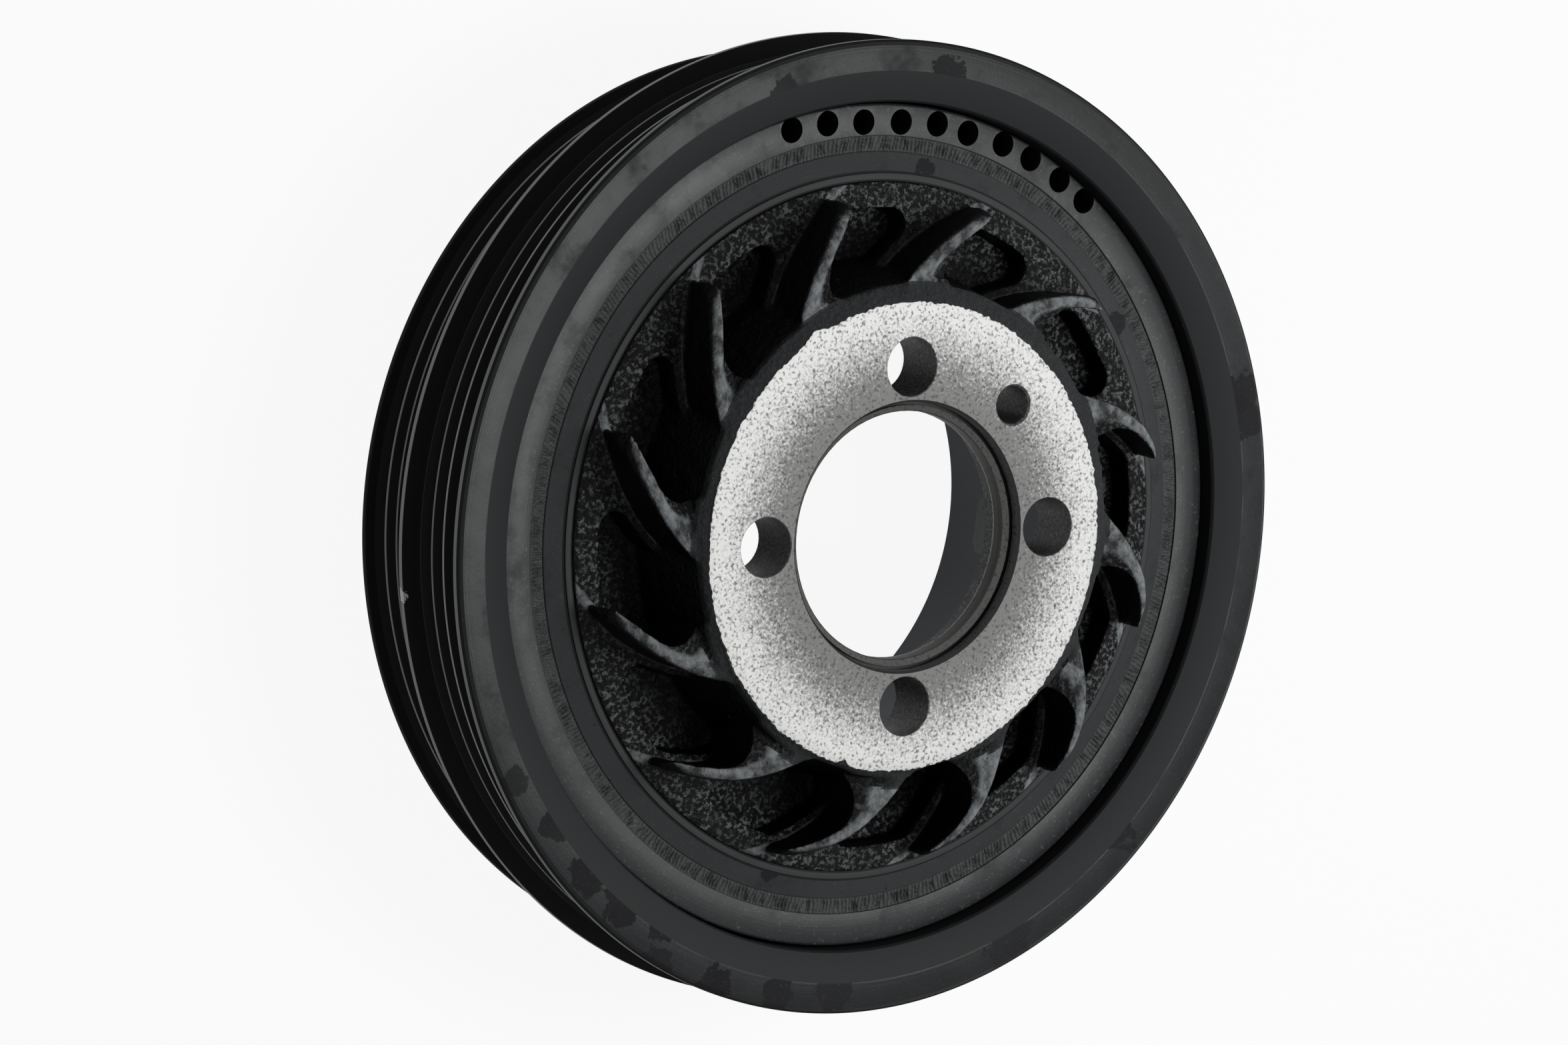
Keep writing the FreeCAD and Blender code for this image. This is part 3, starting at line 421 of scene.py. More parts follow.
@dataclass(frozen=True)
class WornAndSheenLand:
    """A turned land whose coating has worn bright, painted as bare metal and as a painted
    reflection of the white floor: its height, half width and strength.
    """

    height: float
    half_width: float
    strength: float

    def share(self, tree: Tree, place: Place, reach: float) -> Socket:
        """Return how much of the worn metal, with its painted reflection, shows.

        Args:
            tree: The material's tree.
            place: Where the surface lies.
            reach: Radius outside which the land lies.

        Returns:
            0 beside the land and its strength on it.
        """
        off = add_node(tree, "Math", {0: place.height, 1: self.height}, operation="SUBTRACT")
        near = add_node(tree, "Math", {0: off.outputs[0]}, operation="ABSOLUTE")
        on_land = add_node(tree, "MapRange", {
            "Value": near.outputs[0], "From Min": self.half_width,
            "From Max": self.half_width * 0.75, "To Max": self.strength})
        outside = add_node(tree, "Math", {0: place.radius, 1: reach}, operation="GREATER_THAN")
        return add_node(tree, "Math", {
            0: on_land.outputs["Result"], 1: outside.outputs[0]}, operation="MULTIPLY").outputs[0]


@dataclass(frozen=True)
class Patch:
    """A stained or rubbed place on a face: its middle, its size and how much it shows."""

    across: float
    up: float
    size: float
    strength: float

    def spread(self, tree: Tree, place: Place, fray: Socket, stain: Socket) -> Socket:
        """Add the place to what is stained or rubbed already.

        Args:
            tree: The material's tree.
            place: Where the surface lies.
            fray: Noise that frays the edge.
            stain: What shows so far.

        Returns:
            What shows with this place.
        """
        flat = add_node(tree, "CombineXYZ", {0: place.across, 1: place.up})
        away = add_node(tree, "VectorMath", {
            0: flat.outputs[0], 1: (self.across, self.up, 0.0)}, operation="DISTANCE")
        frayed = add_node(tree, "Math", {
            0: fray, 1: 2.2 * self.size, 2: away.outputs["Value"]}, operation="MULTIPLY_ADD")
        inside = add_node(tree, "MapRange", {
            "Value": frayed.outputs[0], "From Min": 2.14 * self.size,
            "From Max": 2.04 * self.size, "To Max": self.strength},
            interpolation_type="SMOOTHSTEP")
        return add_node(tree, "Math", {
            0: stain, 1: inside.outputs["Result"]}, operation="MAXIMUM").outputs[0]


@dataclass(frozen=True)
class Chip:
    """A knocked place where bare metal shows: its middle, radius and colour."""

    middle: Triple
    size: float
    colour: str = "#ffffff"

    def share(self, tree: Tree, place: Place, fray: Socket) -> Socket:
        """Return how much of the bare metal shows.

        Args:
            tree: The material's tree.
            place: Where the surface lies.
            fray: Noise that frays the chip's edge.

        Returns:
            0 outside the chip and 1 inside.
        """
        away = add_node(tree, "VectorMath", {
            0: place.point, 1: Vector(self.middle) * MM}, operation="DISTANCE")
        edge = 2.0 * self.size * MM
        frayed = add_node(tree, "Math", {
            0: fray, 1: edge, 2: away.outputs["Value"]}, operation="MULTIPLY_ADD")
        return add_node(tree, "Math", {0: frayed.outputs[0], 1: edge},
                        operation="LESS_THAN").outputs[0]


@dataclass(frozen=True)
class ShadedZone:
    """A ring-shaped zone with another colour, from one radius and height to another; the colour is
    painted shade, painted light or a tone of the part's own.
    """

    radii: Point
    heights: Point
    colour: str
    strength: float = 1.0
    roughness: float = 0.5

    def share(self, tree: Tree, place: Place) -> Socket:
        """Return how much of the zone's colour shows.

        Args:
            tree: The material's tree.
            place: Where the surface lies.

        Returns:
            0 outside the zone and its strength inside.
        """
        shown: float | Socket = self.strength
        for value, (low, high) in ((place.radius, self.radii), (place.height, self.heights)):
            inside = add_node(tree, "Math", {
                0: value, 1: (low + high) / 2, 2: (high - low) / 2}, operation="COMPARE")
            shown = add_node(tree, "Math", {0: inside.outputs[0], 1: shown},
                             operation="MULTIPLY").outputs[0]
        return shown


@dataclass(frozen=True)
class PhosphatedSteel(Finish):
    """Turned steel with a thin dark phosphate and oil coating: matt, a little blotchy; its zones
    and worn lands also carry painted shade, painted light and painted reflections.
    """

    blotch_colour: str = "#0d0d10"
    fleck_colour: str = "#5d6261"
    # Worn lands are painted bright: bare metal, and a painted reflection of the white floor.
    worn_and_sheen_colour: str = "#bdc0c0"
    grit_colour: str = "#0b0b0b"
    hole_colour: str = "#060606"
    cloud_size: float = 9.0
    stain_size: float = 5.0
    grit_size: float = 0.55
    hole_gap: float = 6.5
    mark_pitch: float = 0.35
    gloss: float = 0.16
    stain_roughness: float = 0.36
    worn_radius: float = 1000.0
    lands: tuple[WornAndSheenLand, ...] = ()
    shades: tuple[ShadedZone, ...] = ()
    patches: tuple[Patch, ...] = ()
    rubs: tuple[Patch, ...] = ()
    chips: tuple[Chip, ...] = ()
    blotches: float = 0.5

    def material(self) -> bpy.types.Material:
        """Build the material."""
        material, tree, shader = self.start()
        place = Place.of(tree)
        # The coating takes unevenly, which shows as clouds.
        cloud = add_node(tree, "TexNoise", {
            "Vector": place.point, "Scale": per_metre(self.cloud_size), "Detail": 5.0,
            "Roughness": 0.6}).outputs["Fac"]
        blotch = add_node(tree, "MapRange", {
            "Value": cloud, "From Min": 0.50, "From Max": 0.72, "To Max": self.blotches},
            interpolation_type="SMOOTHSTEP").outputs["Result"]
        # Stains dry with frayed edges, in tongues that are shorter than the stain.
        fray = add_node(tree, "TexNoise", {
            "Vector": place.point, "Scale": per_metre(self.stain_size), "Detail": 6.0,
            "Roughness": 0.72}).outputs["Fac"]
        for patch in self.patches:
            blotch = patch.spread(tree, place, fray, blotch)
        # Grit under the coating leaves pale and dark flecks.
        grit = add_node(tree, "TexNoise", {
            "Vector": place.point, "Scale": per_metre(self.grit_size),
            "Detail": 2.0}).outputs["Fac"]
        pale = add_node(tree, "MapRange", {
            "Value": grit, "From Min": 0.62, "From Max": 0.80,
            "To Max": 0.3}).outputs["Result"]
        dark = add_node(tree, "MapRange", {
            "Value": grit, "From Min": 0.36, "From Max": 0.24,
            "To Max": 0.6}).outputs["Result"]
        # Gas left pinholes, about 0.6 mm wide, in the metal and the coating.
        pores = add_node(tree, "TexVoronoi", {
            "Vector": place.point, "Scale": per_metre(self.hole_gap)})
        pinhole = add_node(tree, "MapRange", {
            "Value": pores.outputs["Distance"], "From Min": 0.055, "From Max": 0.035,
            "To Max": 0.85}).outputs["Result"]
        rough = add_node(tree, "MapRange", {
            "Value": cloud, "From Min": 0.3, "From Max": 0.7,
            "To Min": self.roughness - 0.04, "To Max": self.roughness + 0.06}).outputs["Result"]
        rough = add_node(tree, "Math", {0: blotch, 1: self.stain_roughness, 2: rough},
                         operation="MULTIPLY_ADD").outputs[0]
        layers = [(blotch, self.blotch_colour), (pale, self.fleck_colour),
                  (pinhole, self.hole_colour)]
        layers += [(rub.spread(tree, place, fray, pale), self.fleck_colour) for rub in self.rubs]
        layers.append((dark, self.grit_colour))
        for zone in self.shades:
            share = zone.share(tree, place)
            layers.append((share, zone.colour))
            rough = add_node(tree, "Mix", {0: share, 2: rough, 3: zone.roughness}).outputs[0]
        layers += [(land.share(tree, place, self.worn_radius), self.worn_and_sheen_colour)
                   for land in self.lands]
        layers += [(chip.share(tree, place, grit), chip.colour) for chip in self.chips]
        tree.links.new(rough, shader.inputs["Roughness"])
        shader.inputs["Specular IOR Level"].default_value = self.gloss
        # Turning marks, drawn about twice as coarse as a real feed so that they show.
        turning = add_node(tree, "TexNoise", {
            "W": place.radius, "Scale": 1 / self.mark_pitch, "Detail": 1.0}, noise_dimensions="1D")
        relief = add_node(tree, "Math", {0: turning.outputs["Fac"], 1: grit}, operation="ADD")
        self.cover(shader, layered(tree, self.colour, layers), relief.outputs[0], 0.35, 0.03)
        return material


@dataclass(frozen=True)
class VaneLines:
    """The curved lines that the vanes' crests follow, and the crests' heights."""

    count: int = 12
    reach: float = 32.8
    first: float = -57.85
    arc: float = 37.2
    crest: float = 46.76
    nose_reach: float = 57.7
    nose: float = 8.4
    crown: float = 1.3
    root: float = 43.0

    def height(self, radius: np.ndarray) -> np.ndarray:
        """Return the crest's height at each radius, level and then falling to the tip."""
        past = np.clip(radius - (self.nose_reach - self.nose), 0, self.nose)
        return self.crest - self.nose + np.sqrt(self.nose ** 2 - past ** 2)

    def distance(self, places: np.ndarray) -> np.ndarray:
        """Measure how far points lie from the nearest vane's line in plan.

        Args:
            places: Points in millimetres.

        Returns:
            One distance for each point, below zero on the hollow side of the line.
        """
        nearest = np.full(len(places), 99.0)
        for number in range(self.count):
            turn = math.radians(self.first + 360 / self.count * number)
            way = np.array((math.cos(turn), math.sin(turn)))
            off = np.hypot(*(places[:, :2] - self.reach * way).T) - self.arc
            ahead = way[0] * places[:, 1] - way[1] * places[:, 0] > 0
            nearest = np.where(ahead & (np.abs(off) < np.abs(nearest)), off, nearest)
        return nearest

    def drop(self, off: np.ndarray) -> np.ndarray:
        """Return how far the rounded crest and the sloping root lie below the line.

        Args:
            off: Distances from the line, below zero on the hollow side.

        Returns:
            One depth for each distance; the hollow side slopes more gently.
        """
        edge = 0.8 * self.crown
        size = np.abs(off)
        near = self.crown - np.sqrt(self.crown ** 2 - np.minimum(size, edge) ** 2)
        return near + np.where(off < 0, 0.4, 1.1) * np.maximum(0, size - edge)

    def off_line(self, tree: Tree, place: Place) -> Socket:
        """Add nodes that measure the distance from the nearest vane's line.

        Args:
            tree: The material's tree.
            place: Where the surface lies.

        Returns:
            The distance in millimetres, near enough within 2 mm of the line.
        """
        square = add_node(tree, "Math", {
            0: place.radius, 1: place.radius, 2: self.reach ** 2 - self.arc ** 2},
            operation="MULTIPLY_ADD")
        double = add_node(tree, "Math", {
            0: place.radius, 1: 2 * self.reach}, operation="MULTIPLY")
        cosine = add_node(tree, "Math", {
            0: square.outputs[0], 1: double.outputs[0]}, operation="DIVIDE")
        ahead = add_node(tree, "Math", {0: cosine.outputs[0]}, operation="ARCCOSINE")
        turn = add_node(tree, "Math", {0: place.up, 1: place.across}, operation="ARCTAN2")
        line = add_node(tree, "Math", {
            0: ahead.outputs[0], 1: math.radians(self.first)}, operation="ADD")
        beside = add_node(tree, "Math", {
            0: turn.outputs[0], 1: line.outputs[0]}, operation="SUBTRACT")
        half = math.pi / self.count
        folded = add_node(tree, "Math", {
            0: beside.outputs[0], 1: half, 2: -half}, operation="WRAP")
        # The root's hollow side slopes gently and catches the light, so the crest's paler paint,
        # wear and painted highlight, spreads over it.
        spread = add_node(tree, "MapRange", {
            "Value": place.radius, "From Min": 43.5, "From Max": 49.0,
            "To Min": -0.3, "To Max": -0.8})
        hollow = add_node(tree, "Math", {
            0: folded.outputs[0], 1: spread.outputs["Result"]}, operation="MULTIPLY")
        size = add_node(tree, "Math", {
            0: folded.outputs[0], 1: hollow.outputs[0]}, operation="MAXIMUM")
        # The line crosses the radius at about 50 degrees, so 0.77 of the arc is across it.
        across = add_node(tree, "Math", {0: place.radius, 1: 0.77}, operation="MULTIPLY")
        return add_node(tree, "Math", {
            0: size.outputs[0], 1: across.outputs[0]}, operation="MULTIPLY").outputs[0]


@dataclass(frozen=True)
class SandCastIron(Finish):
    """Sand-cast iron under a thin black coating: grainy, with pale grains that are partly painted
    glints, crests paler from rubbing and painted highlight, and painted shade on walls and in
    pockets.
    """

    vanes: VaneLines
    grain_and_glint_colour: str = "#656869"
    painted_shade_colour: str = "#010101"
    rubbed_and_highlight_colour: str = "#85898b"
    sand_size: float = 0.8
    lump_size: float = 2.4
    shades: tuple[ShadedZone, ...] = ()

    def material(self) -> bpy.types.Material:
        """Build the material."""
        material, tree, shader = self.start()
        place = Place.of(tree)
        # Moulding sand leaves grains and lumps, drawn a little coarse so that they show; the pale
        # grains are also painted glints, where the sand catches the light.
        sand = add_node(tree, "TexNoise", {
            "Vector": place.point, "Scale": per_metre(self.sand_size), "Detail": 4.0,
            "Roughness": 0.65}).outputs["Fac"]
        lumps = add_node(tree, "TexNoise", {
            "Vector": place.point, "Scale": per_metre(self.lump_size),
            "Detail": 3.0}).outputs["Fac"]
        shine = add_node(tree, "MapRange", {
            "Value": sand, "From Min": 0.48, "From Max": 0.62}, interpolation_type="SMOOTHSTEP")
        uneven = add_node(tree, "MapRange", {
            "Value": lumps, "From Min": 0.38, "From Max": 0.58, "To Min": 0.4})
        grains = add_node(tree, "Math", {
            0: shine.outputs["Result"], 1: uneven.outputs["Result"]}, operation="MULTIPLY")
        # Painted shade: walls and the pockets' inner ends are painted black where shade falls, so
        # the pale grains show only on what looks forwards.
        inwards = add_node(tree, "MapRange", {
            "Value": place.radius, "From Min": 54.0, "From Max": 46.5, "To Max": 0.8},
            interpolation_type="SMOOTHSTEP")
        low = add_node(tree, "MapRange", {
            "Value": place.height, "From Min": 47.4, "From Max": 44.5},
            interpolation_type="SMOOTHSTEP")
        deep = add_node(tree, "Math", {
            0: inwards.outputs["Result"], 1: low.outputs["Result"]}, operation="MULTIPLY")
        facing = add_node(tree, "SeparateXYZ", {
            0: add_node(tree, "NewGeometry").outputs["Normal"]})
        wall = add_node(tree, "MapRange", {
            "Value": facing.outputs[2], "From Min": 0.8, "From Max": 0.5},
            interpolation_type="SMOOTHSTEP").outputs["Result"]
        black = add_node(tree, "Math", {0: deep.outputs[0], 1: wall}, operation="MAXIMUM")
        # Crests and their sloping roots are painted paler: coating rubbed off by handling, and
        # painted highlight where they catch the light; not on the walls below them.
        share = add_node(tree, "MapRange", {
            "Value": self.vanes.off_line(tree, place), "From Min": 1.2, "From Max": 0.75},
            interpolation_type="SMOOTHSTEP").outputs["Result"]
        rubbed = add_node(tree, "MapRange", {
            "Value": lumps, "From Min": 0.36, "From Max": 0.62, "To Min": 0.15})
        on_vane = add_node(tree, "Math", {
            0: place.radius, 1: self.vanes.root}, operation="GREATER_THAN")
        level = add_node(tree, "Math", {0: 1.0, 1: wall}, operation="SUBTRACT")
        for limit in (rubbed, on_vane, level):
            share = add_node(tree, "Math", {0: share, 1: limit.outputs[0]},
                             operation="MULTIPLY").outputs[0]
        layers = [(grains.outputs[0], self.grain_and_glint_colour), (black.outputs[0], self.painted_shade_colour),
                  (share, self.rubbed_and_highlight_colour)]
        layers += [(zone.share(tree, place), zone.colour) for zone in self.shades]
        shader.inputs["Specular IOR Level"].default_value = 0.08
        relief = add_node(tree, "Math", {0: lumps, 1: sand}, operation="ADD")
        self.cover(shader, layered(tree, self.colour, layers), relief.outputs[0], 1.0, 0.5)
        return material


@dataclass(frozen=True)
class BlastedZinc(Finish):
    """A milled face with a bright zinc flake coat: pale and speckled, dull round the bore."""

    dull_colour: str = "#5f5f5e"
    pit_colour: str = "#6a6b69"
    bore_colour: str = "#262727"
    bore_fleck_colour: str = "#767877"
    face_height: float = 47.8
    grain_size: float = 0.5
    pit_size: float = 0.6
    cloud_size: float = 7.0
    shades: tuple[ShadedZone, ...] = ()

    def material(self) -> bpy.types.Material:
        """Build the material."""
        material, tree, shader = self.start()
        place = Place.of(tree)
        # Flake coating in fine grains over a face that is duller towards the bore.
        grain = add_node(tree, "TexNoise", {
            "Vector": place.point, "Scale": per_metre(self.grain_size), "Detail": 3.0,
            "Roughness": 0.7}).outputs["Fac"]
        cloud = add_node(tree, "TexNoise", {
            "Vector": place.point, "Scale": per_metre(self.cloud_size), "Detail": 3.0})
        shifted = add_node(tree, "Math", {
            0: cloud.outputs["Fac"], 1: -3.5, 2: place.radius}, operation="MULTIPLY_ADD")
        ground = add_node(tree, "Math", {
            0: grain, 1: 27.0, 2: shifted.outputs[0]}, operation="MULTIPLY_ADD")
        fresh = add_node(tree, "MapRange", {
            "Value": ground.outputs[0], "From Min": 38.0, "From Max": 50.5},
            interpolation_type="SMOOTHSTEP")
        off_face = add_node(tree, "Math", {
            0: place.height, 1: self.face_height}, operation="LESS_THAN")
        thin = add_node(tree, "MapRange", {
            "Value": grain, "From Min": 0.44, "From Max": 0.66})
        bore = layered(tree, self.bore_colour, [(thin.outputs["Result"], self.bore_fleck_colour)])
        layers = [(fresh.outputs["Result"], self.colour), (off_face.outputs[0], bore)]
        layers += [(zone.share(tree, place), zone.colour) for zone in self.shades]
        pits = add_node(tree, "TexNoise", {
            "Vector": place.point, "Scale": per_metre(self.pit_size),
            "Detail": 2.0}).outputs["Fac"]
        pit = add_node(tree, "MapRange", {
            "Value": pits, "From Min": 0.46, "From Max": 0.33, "To Max": 0.85})
        colour = add_node(tree, "Mix", {
            0: pit.outputs["Result"], 6: layered(tree, self.dull_colour, layers),
            7: linear(self.pit_colour)}, data_type="RGBA", blend_type="MULTIPLY").outputs[2]
        shader.inputs["Metallic"].default_value = 0.3
        relief = add_node(tree, "Math", {0: grain, 1: pits}, operation="ADD")
        self.cover(shader, colour, relief.outputs[0], 0.5, 0.06)
        return material


@dataclass(frozen=True)
class MouldedRubber(Finish):
    """Moulded rubber, matt grey from release agent, with a fine ropy end face."""

    dust_colour: str = "#585b5b"
    dust_size: float = 0.5

    def material(self) -> bpy.types.Material:
        """Build the material."""
        material, tree, shader = self.start()
        place = Place.of(tree)
        dust = add_node(tree, "TexNoise", {
            "Vector": place.point, "Scale": per_metre(self.dust_size),
            "Detail": 2.0}).outputs["Fac"]
        share = add_node(tree, "MapRange", {
            "Value": dust, "From Min": 0.48, "From Max": 0.75, "To Max": 0.6})
        colour = layered(tree, self.colour, [(share.outputs["Result"], self.dust_colour)])
        shader.inputs["Specular IOR Level"].default_value = 0.25
        self.cover(shader, colour, dust, 0.4, 0.05)
        return material


@dataclass(frozen=True)
class BareSteel(Finish):
    """Rolled or ground steel under oil, with a fine grain and faint smears."""

    smear_colour: str = "#2a2826"
    smear_size: float = 6.0
    grain_size: float = 0.4

    def material(self) -> bpy.types.Material:
        """Build the material."""
        material, tree, shader = self.start()
        place = Place.of(tree)
        smear = add_node(tree, "TexNoise", {
            "Vector": place.point, "Scale": per_metre(self.smear_size), "Detail": 4.0})
        share = add_node(tree, "MapRange", {
            "Value": smear.outputs["Fac"], "From Min": 0.48, "From Max": 0.7, "To Max": 0.7})
        colour = layered(tree, self.colour, [(share.outputs["Result"], self.smear_colour)])
        shader.inputs["Metallic"].default_value = 0.85
        grain = add_node(tree, "TexNoise", {
            "Vector": place.point, "Scale": per_metre(self.grain_size), "Detail": 2.0})
        self.cover(shader, colour, grain.outputs["Fac"], 0.25, 0.02)
        return material


# Pieces.

def hand_over(piece: Object, finish: bpy.types.Material, slot: str, *nodes: str) -> None:
    """Dress a piece, hang it on the body and hide the CAD nodes that it replaces.

    Args:
        piece: The new piece.
        finish: Its material.
        slot: A material slot's name; not used.
        nodes: CAD nodes that the piece replaces.
    """
    piece.data.materials.clear()
    piece.data.materials.append(finish)
    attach(piece, BODY)
    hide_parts(*nodes)
    log.info("%s: %d faces for %s", piece.name, len(piece.data.polygons), ", ".join(nodes))


@dataclass
class BeltRim:
    """The decoupled rim with its two belt tracks."""

    width: float = 38.0
    bore: float = 72.8
    rear_bore: float = 70.6
    step_height: float = 19.0
    flange: float = 83.5
    flange_rear: float = 36.25
    flange_top: float = 37.5
    face_outer: float = 82.6
    face_inner: float = 78.3
    lip: float = 73.2
    lip_height: float = 36.5
    bore_top: float = 35.9
    middle_flange: float = 83.3
    middle_top: float = 20.0
    middle_land: float = 1.1
    rear_flange: float = 79.0
    rear_land: float = 1.2
    front_crest: float = 80.3
    rear_crest: float = 77.2
    pitch: float = 3.56
    mouth: float = 3.06
    floor: float = 0.9
    depth: float = 2.97
    first_front: float = 33.44
    front_grooves: int = 4
    first_rear: float = 17.15
    rear_grooves: int = 5
    segments: int = 336

    def track(self, crest: float, first: float, count: int) -> list[Triple]:
        """Return the corners of one grooved track, from its rear end forwards.

        Args:
            crest: Radius of the rib crests.
            first: Height of the frontmost groove's middle.
            count: Number of grooves.

        Returns:
            The corners of all grooves.
        """
        corners: list[Triple] = []
        for number in reversed(range(count)):
            middle = first - number * self.pitch
            corners += [
                (crest, middle - self.mouth / 2, 0.12),
                (crest - self.depth, middle - self.floor / 2, 0.2),
                (crest - self.depth, middle + self.floor / 2, 0.2),
                (crest, middle + self.mouth / 2, 0.12),
            ]
        return corners

    def section(self) -> list[Point]:
        """Return the rim's section, with its machined edges broken."""
        middle_bottom = self.middle_top - self.middle_land
        return rounded([
            (self.rear_bore + 0.5, 0.0, 0.1),
            (self.rear_flange, 0.0, 0.25),
            (self.rear_flange, self.rear_land, 0.25),
            (self.rear_crest, self.rear_land, 0.1),
            *self.track(self.rear_crest, self.first_rear, self.rear_grooves),
            (self.rear_crest, middle_bottom, 0.1),
            (self.middle_flange, middle_bottom, 0.12),
            (self.middle_flange, self.middle_top, 0.12),
            (self.front_crest, self.middle_top, 0.1),
            *self.track(self.front_crest, self.first_front, self.front_grooves),
            (self.front_crest, self.flange_rear, 0.1),
            (self.flange, self.flange_rear, 0.15),
            (self.flange, self.flange_top, 0.15),
            (self.face_outer, self.width, 0.2),
            (self.face_inner, self.width, 0.6),
            (self.lip, self.lip_height, 0.12),
            (self.bore, self.bore_top, 0.2),
            (self.bore, self.step_height, 0.1),
            (self.rear_bore, self.step_height, 0.1),
            (self.rear_bore, 0.5, 0.1),
        ], steps=2)

    def finish(self) -> PhosphatedSteel:
        """Return the rim's finish."""
        return PhosphatedSteel(
            "turned_steel_phosphated", "#202223", 0.29, worn_radius=76.9, gloss=0.12,
            patches=(
                Patch(13.0, 77.2, 3.5, 0.9), Patch(-20.7, 75.2, 3.0, 0.8),
                Patch(-59.9, 46.9, 2.0, 0.9), Patch(75.1, 17.1, 7.0, 0.9),
                Patch(-72.0, -38.1, 2.6, 0.8), Patch(-63.3, -45.5, 3.0, 0.9),
                Patch(-57.2, -54.5, 3.6, 1.0), Patch(-49.8, -60.8, 3.8, 1.0),
                Patch(-41.0, -64.4, 3.6, 1.0), Patch(-42.8, -71.1, 3.4, 0.9),
                Patch(-31.3, -75.6, 3.6, 1.0), Patch(-18.2, -78.7, 3.2, 0.9),
                Patch(-6.5, -79.6, 3.4, 0.8), Patch(-68.2, -32.2, 1.8, 0.7),
                Patch(52.0, -54.8, 5.5, 0.9), Patch(30.0, -74.0, 5.0, 0.7),
            ),
            chips=(Chip((-82.9, -8.6, 19.4), 1.0), Chip((-83.0, -7.5, 18.9), 0.65)),
            # Painted shade: the belt tracks are black, their dark coat with painted shade in the
            # grooves, and the front flange's bevelled edge and the rim's bore are black painted
            # shade; the dish is a little darker and rougher.
            shades=(
                ShadedZone((73.9, 90.0), (0.1, 36.0), "#030303", roughness=0.7),
                ShadedZone((79.0, 90.0), (35.9, 37.72), "#030303", roughness=0.7),
                ShadedZone((60.0, 73.0), (-1.0, 36.0), "#050505", roughness=0.7),
                ShadedZone((73.0, 78.2), (36.0, 37.97), "#1e2021", roughness=0.55),
            ),
            # Lands worn to bare metal; each land's strength also paints how brightly it reflects
            # the white floor.
            lands=(
                WornAndSheenLand(36.88, 0.52, 0.6), WornAndSheenLand(31.66, 0.28, 0.8),
                WornAndSheenLand(28.10, 0.28, 0.95), WornAndSheenLand(24.54, 0.28, 0.6),
                WornAndSheenLand(20.98, 0.15, 0.08), WornAndSheenLand(19.45, 0.52, 0.85),
                WornAndSheenLand(15.37, 0.28, 0.6), WornAndSheenLand(11.81, 0.28, 0.6),
                WornAndSheenLand(8.25, 0.28, 0.7), WornAndSheenLand(4.69, 0.30, 1.0),
            ))

    def build(self) -> None:
        """Build the rim and dress it."""
        rim = turned("rim", self.section(), self.segments)
        hand_over(rim, self.finish().material(), "rim_steel", "belt_rim")


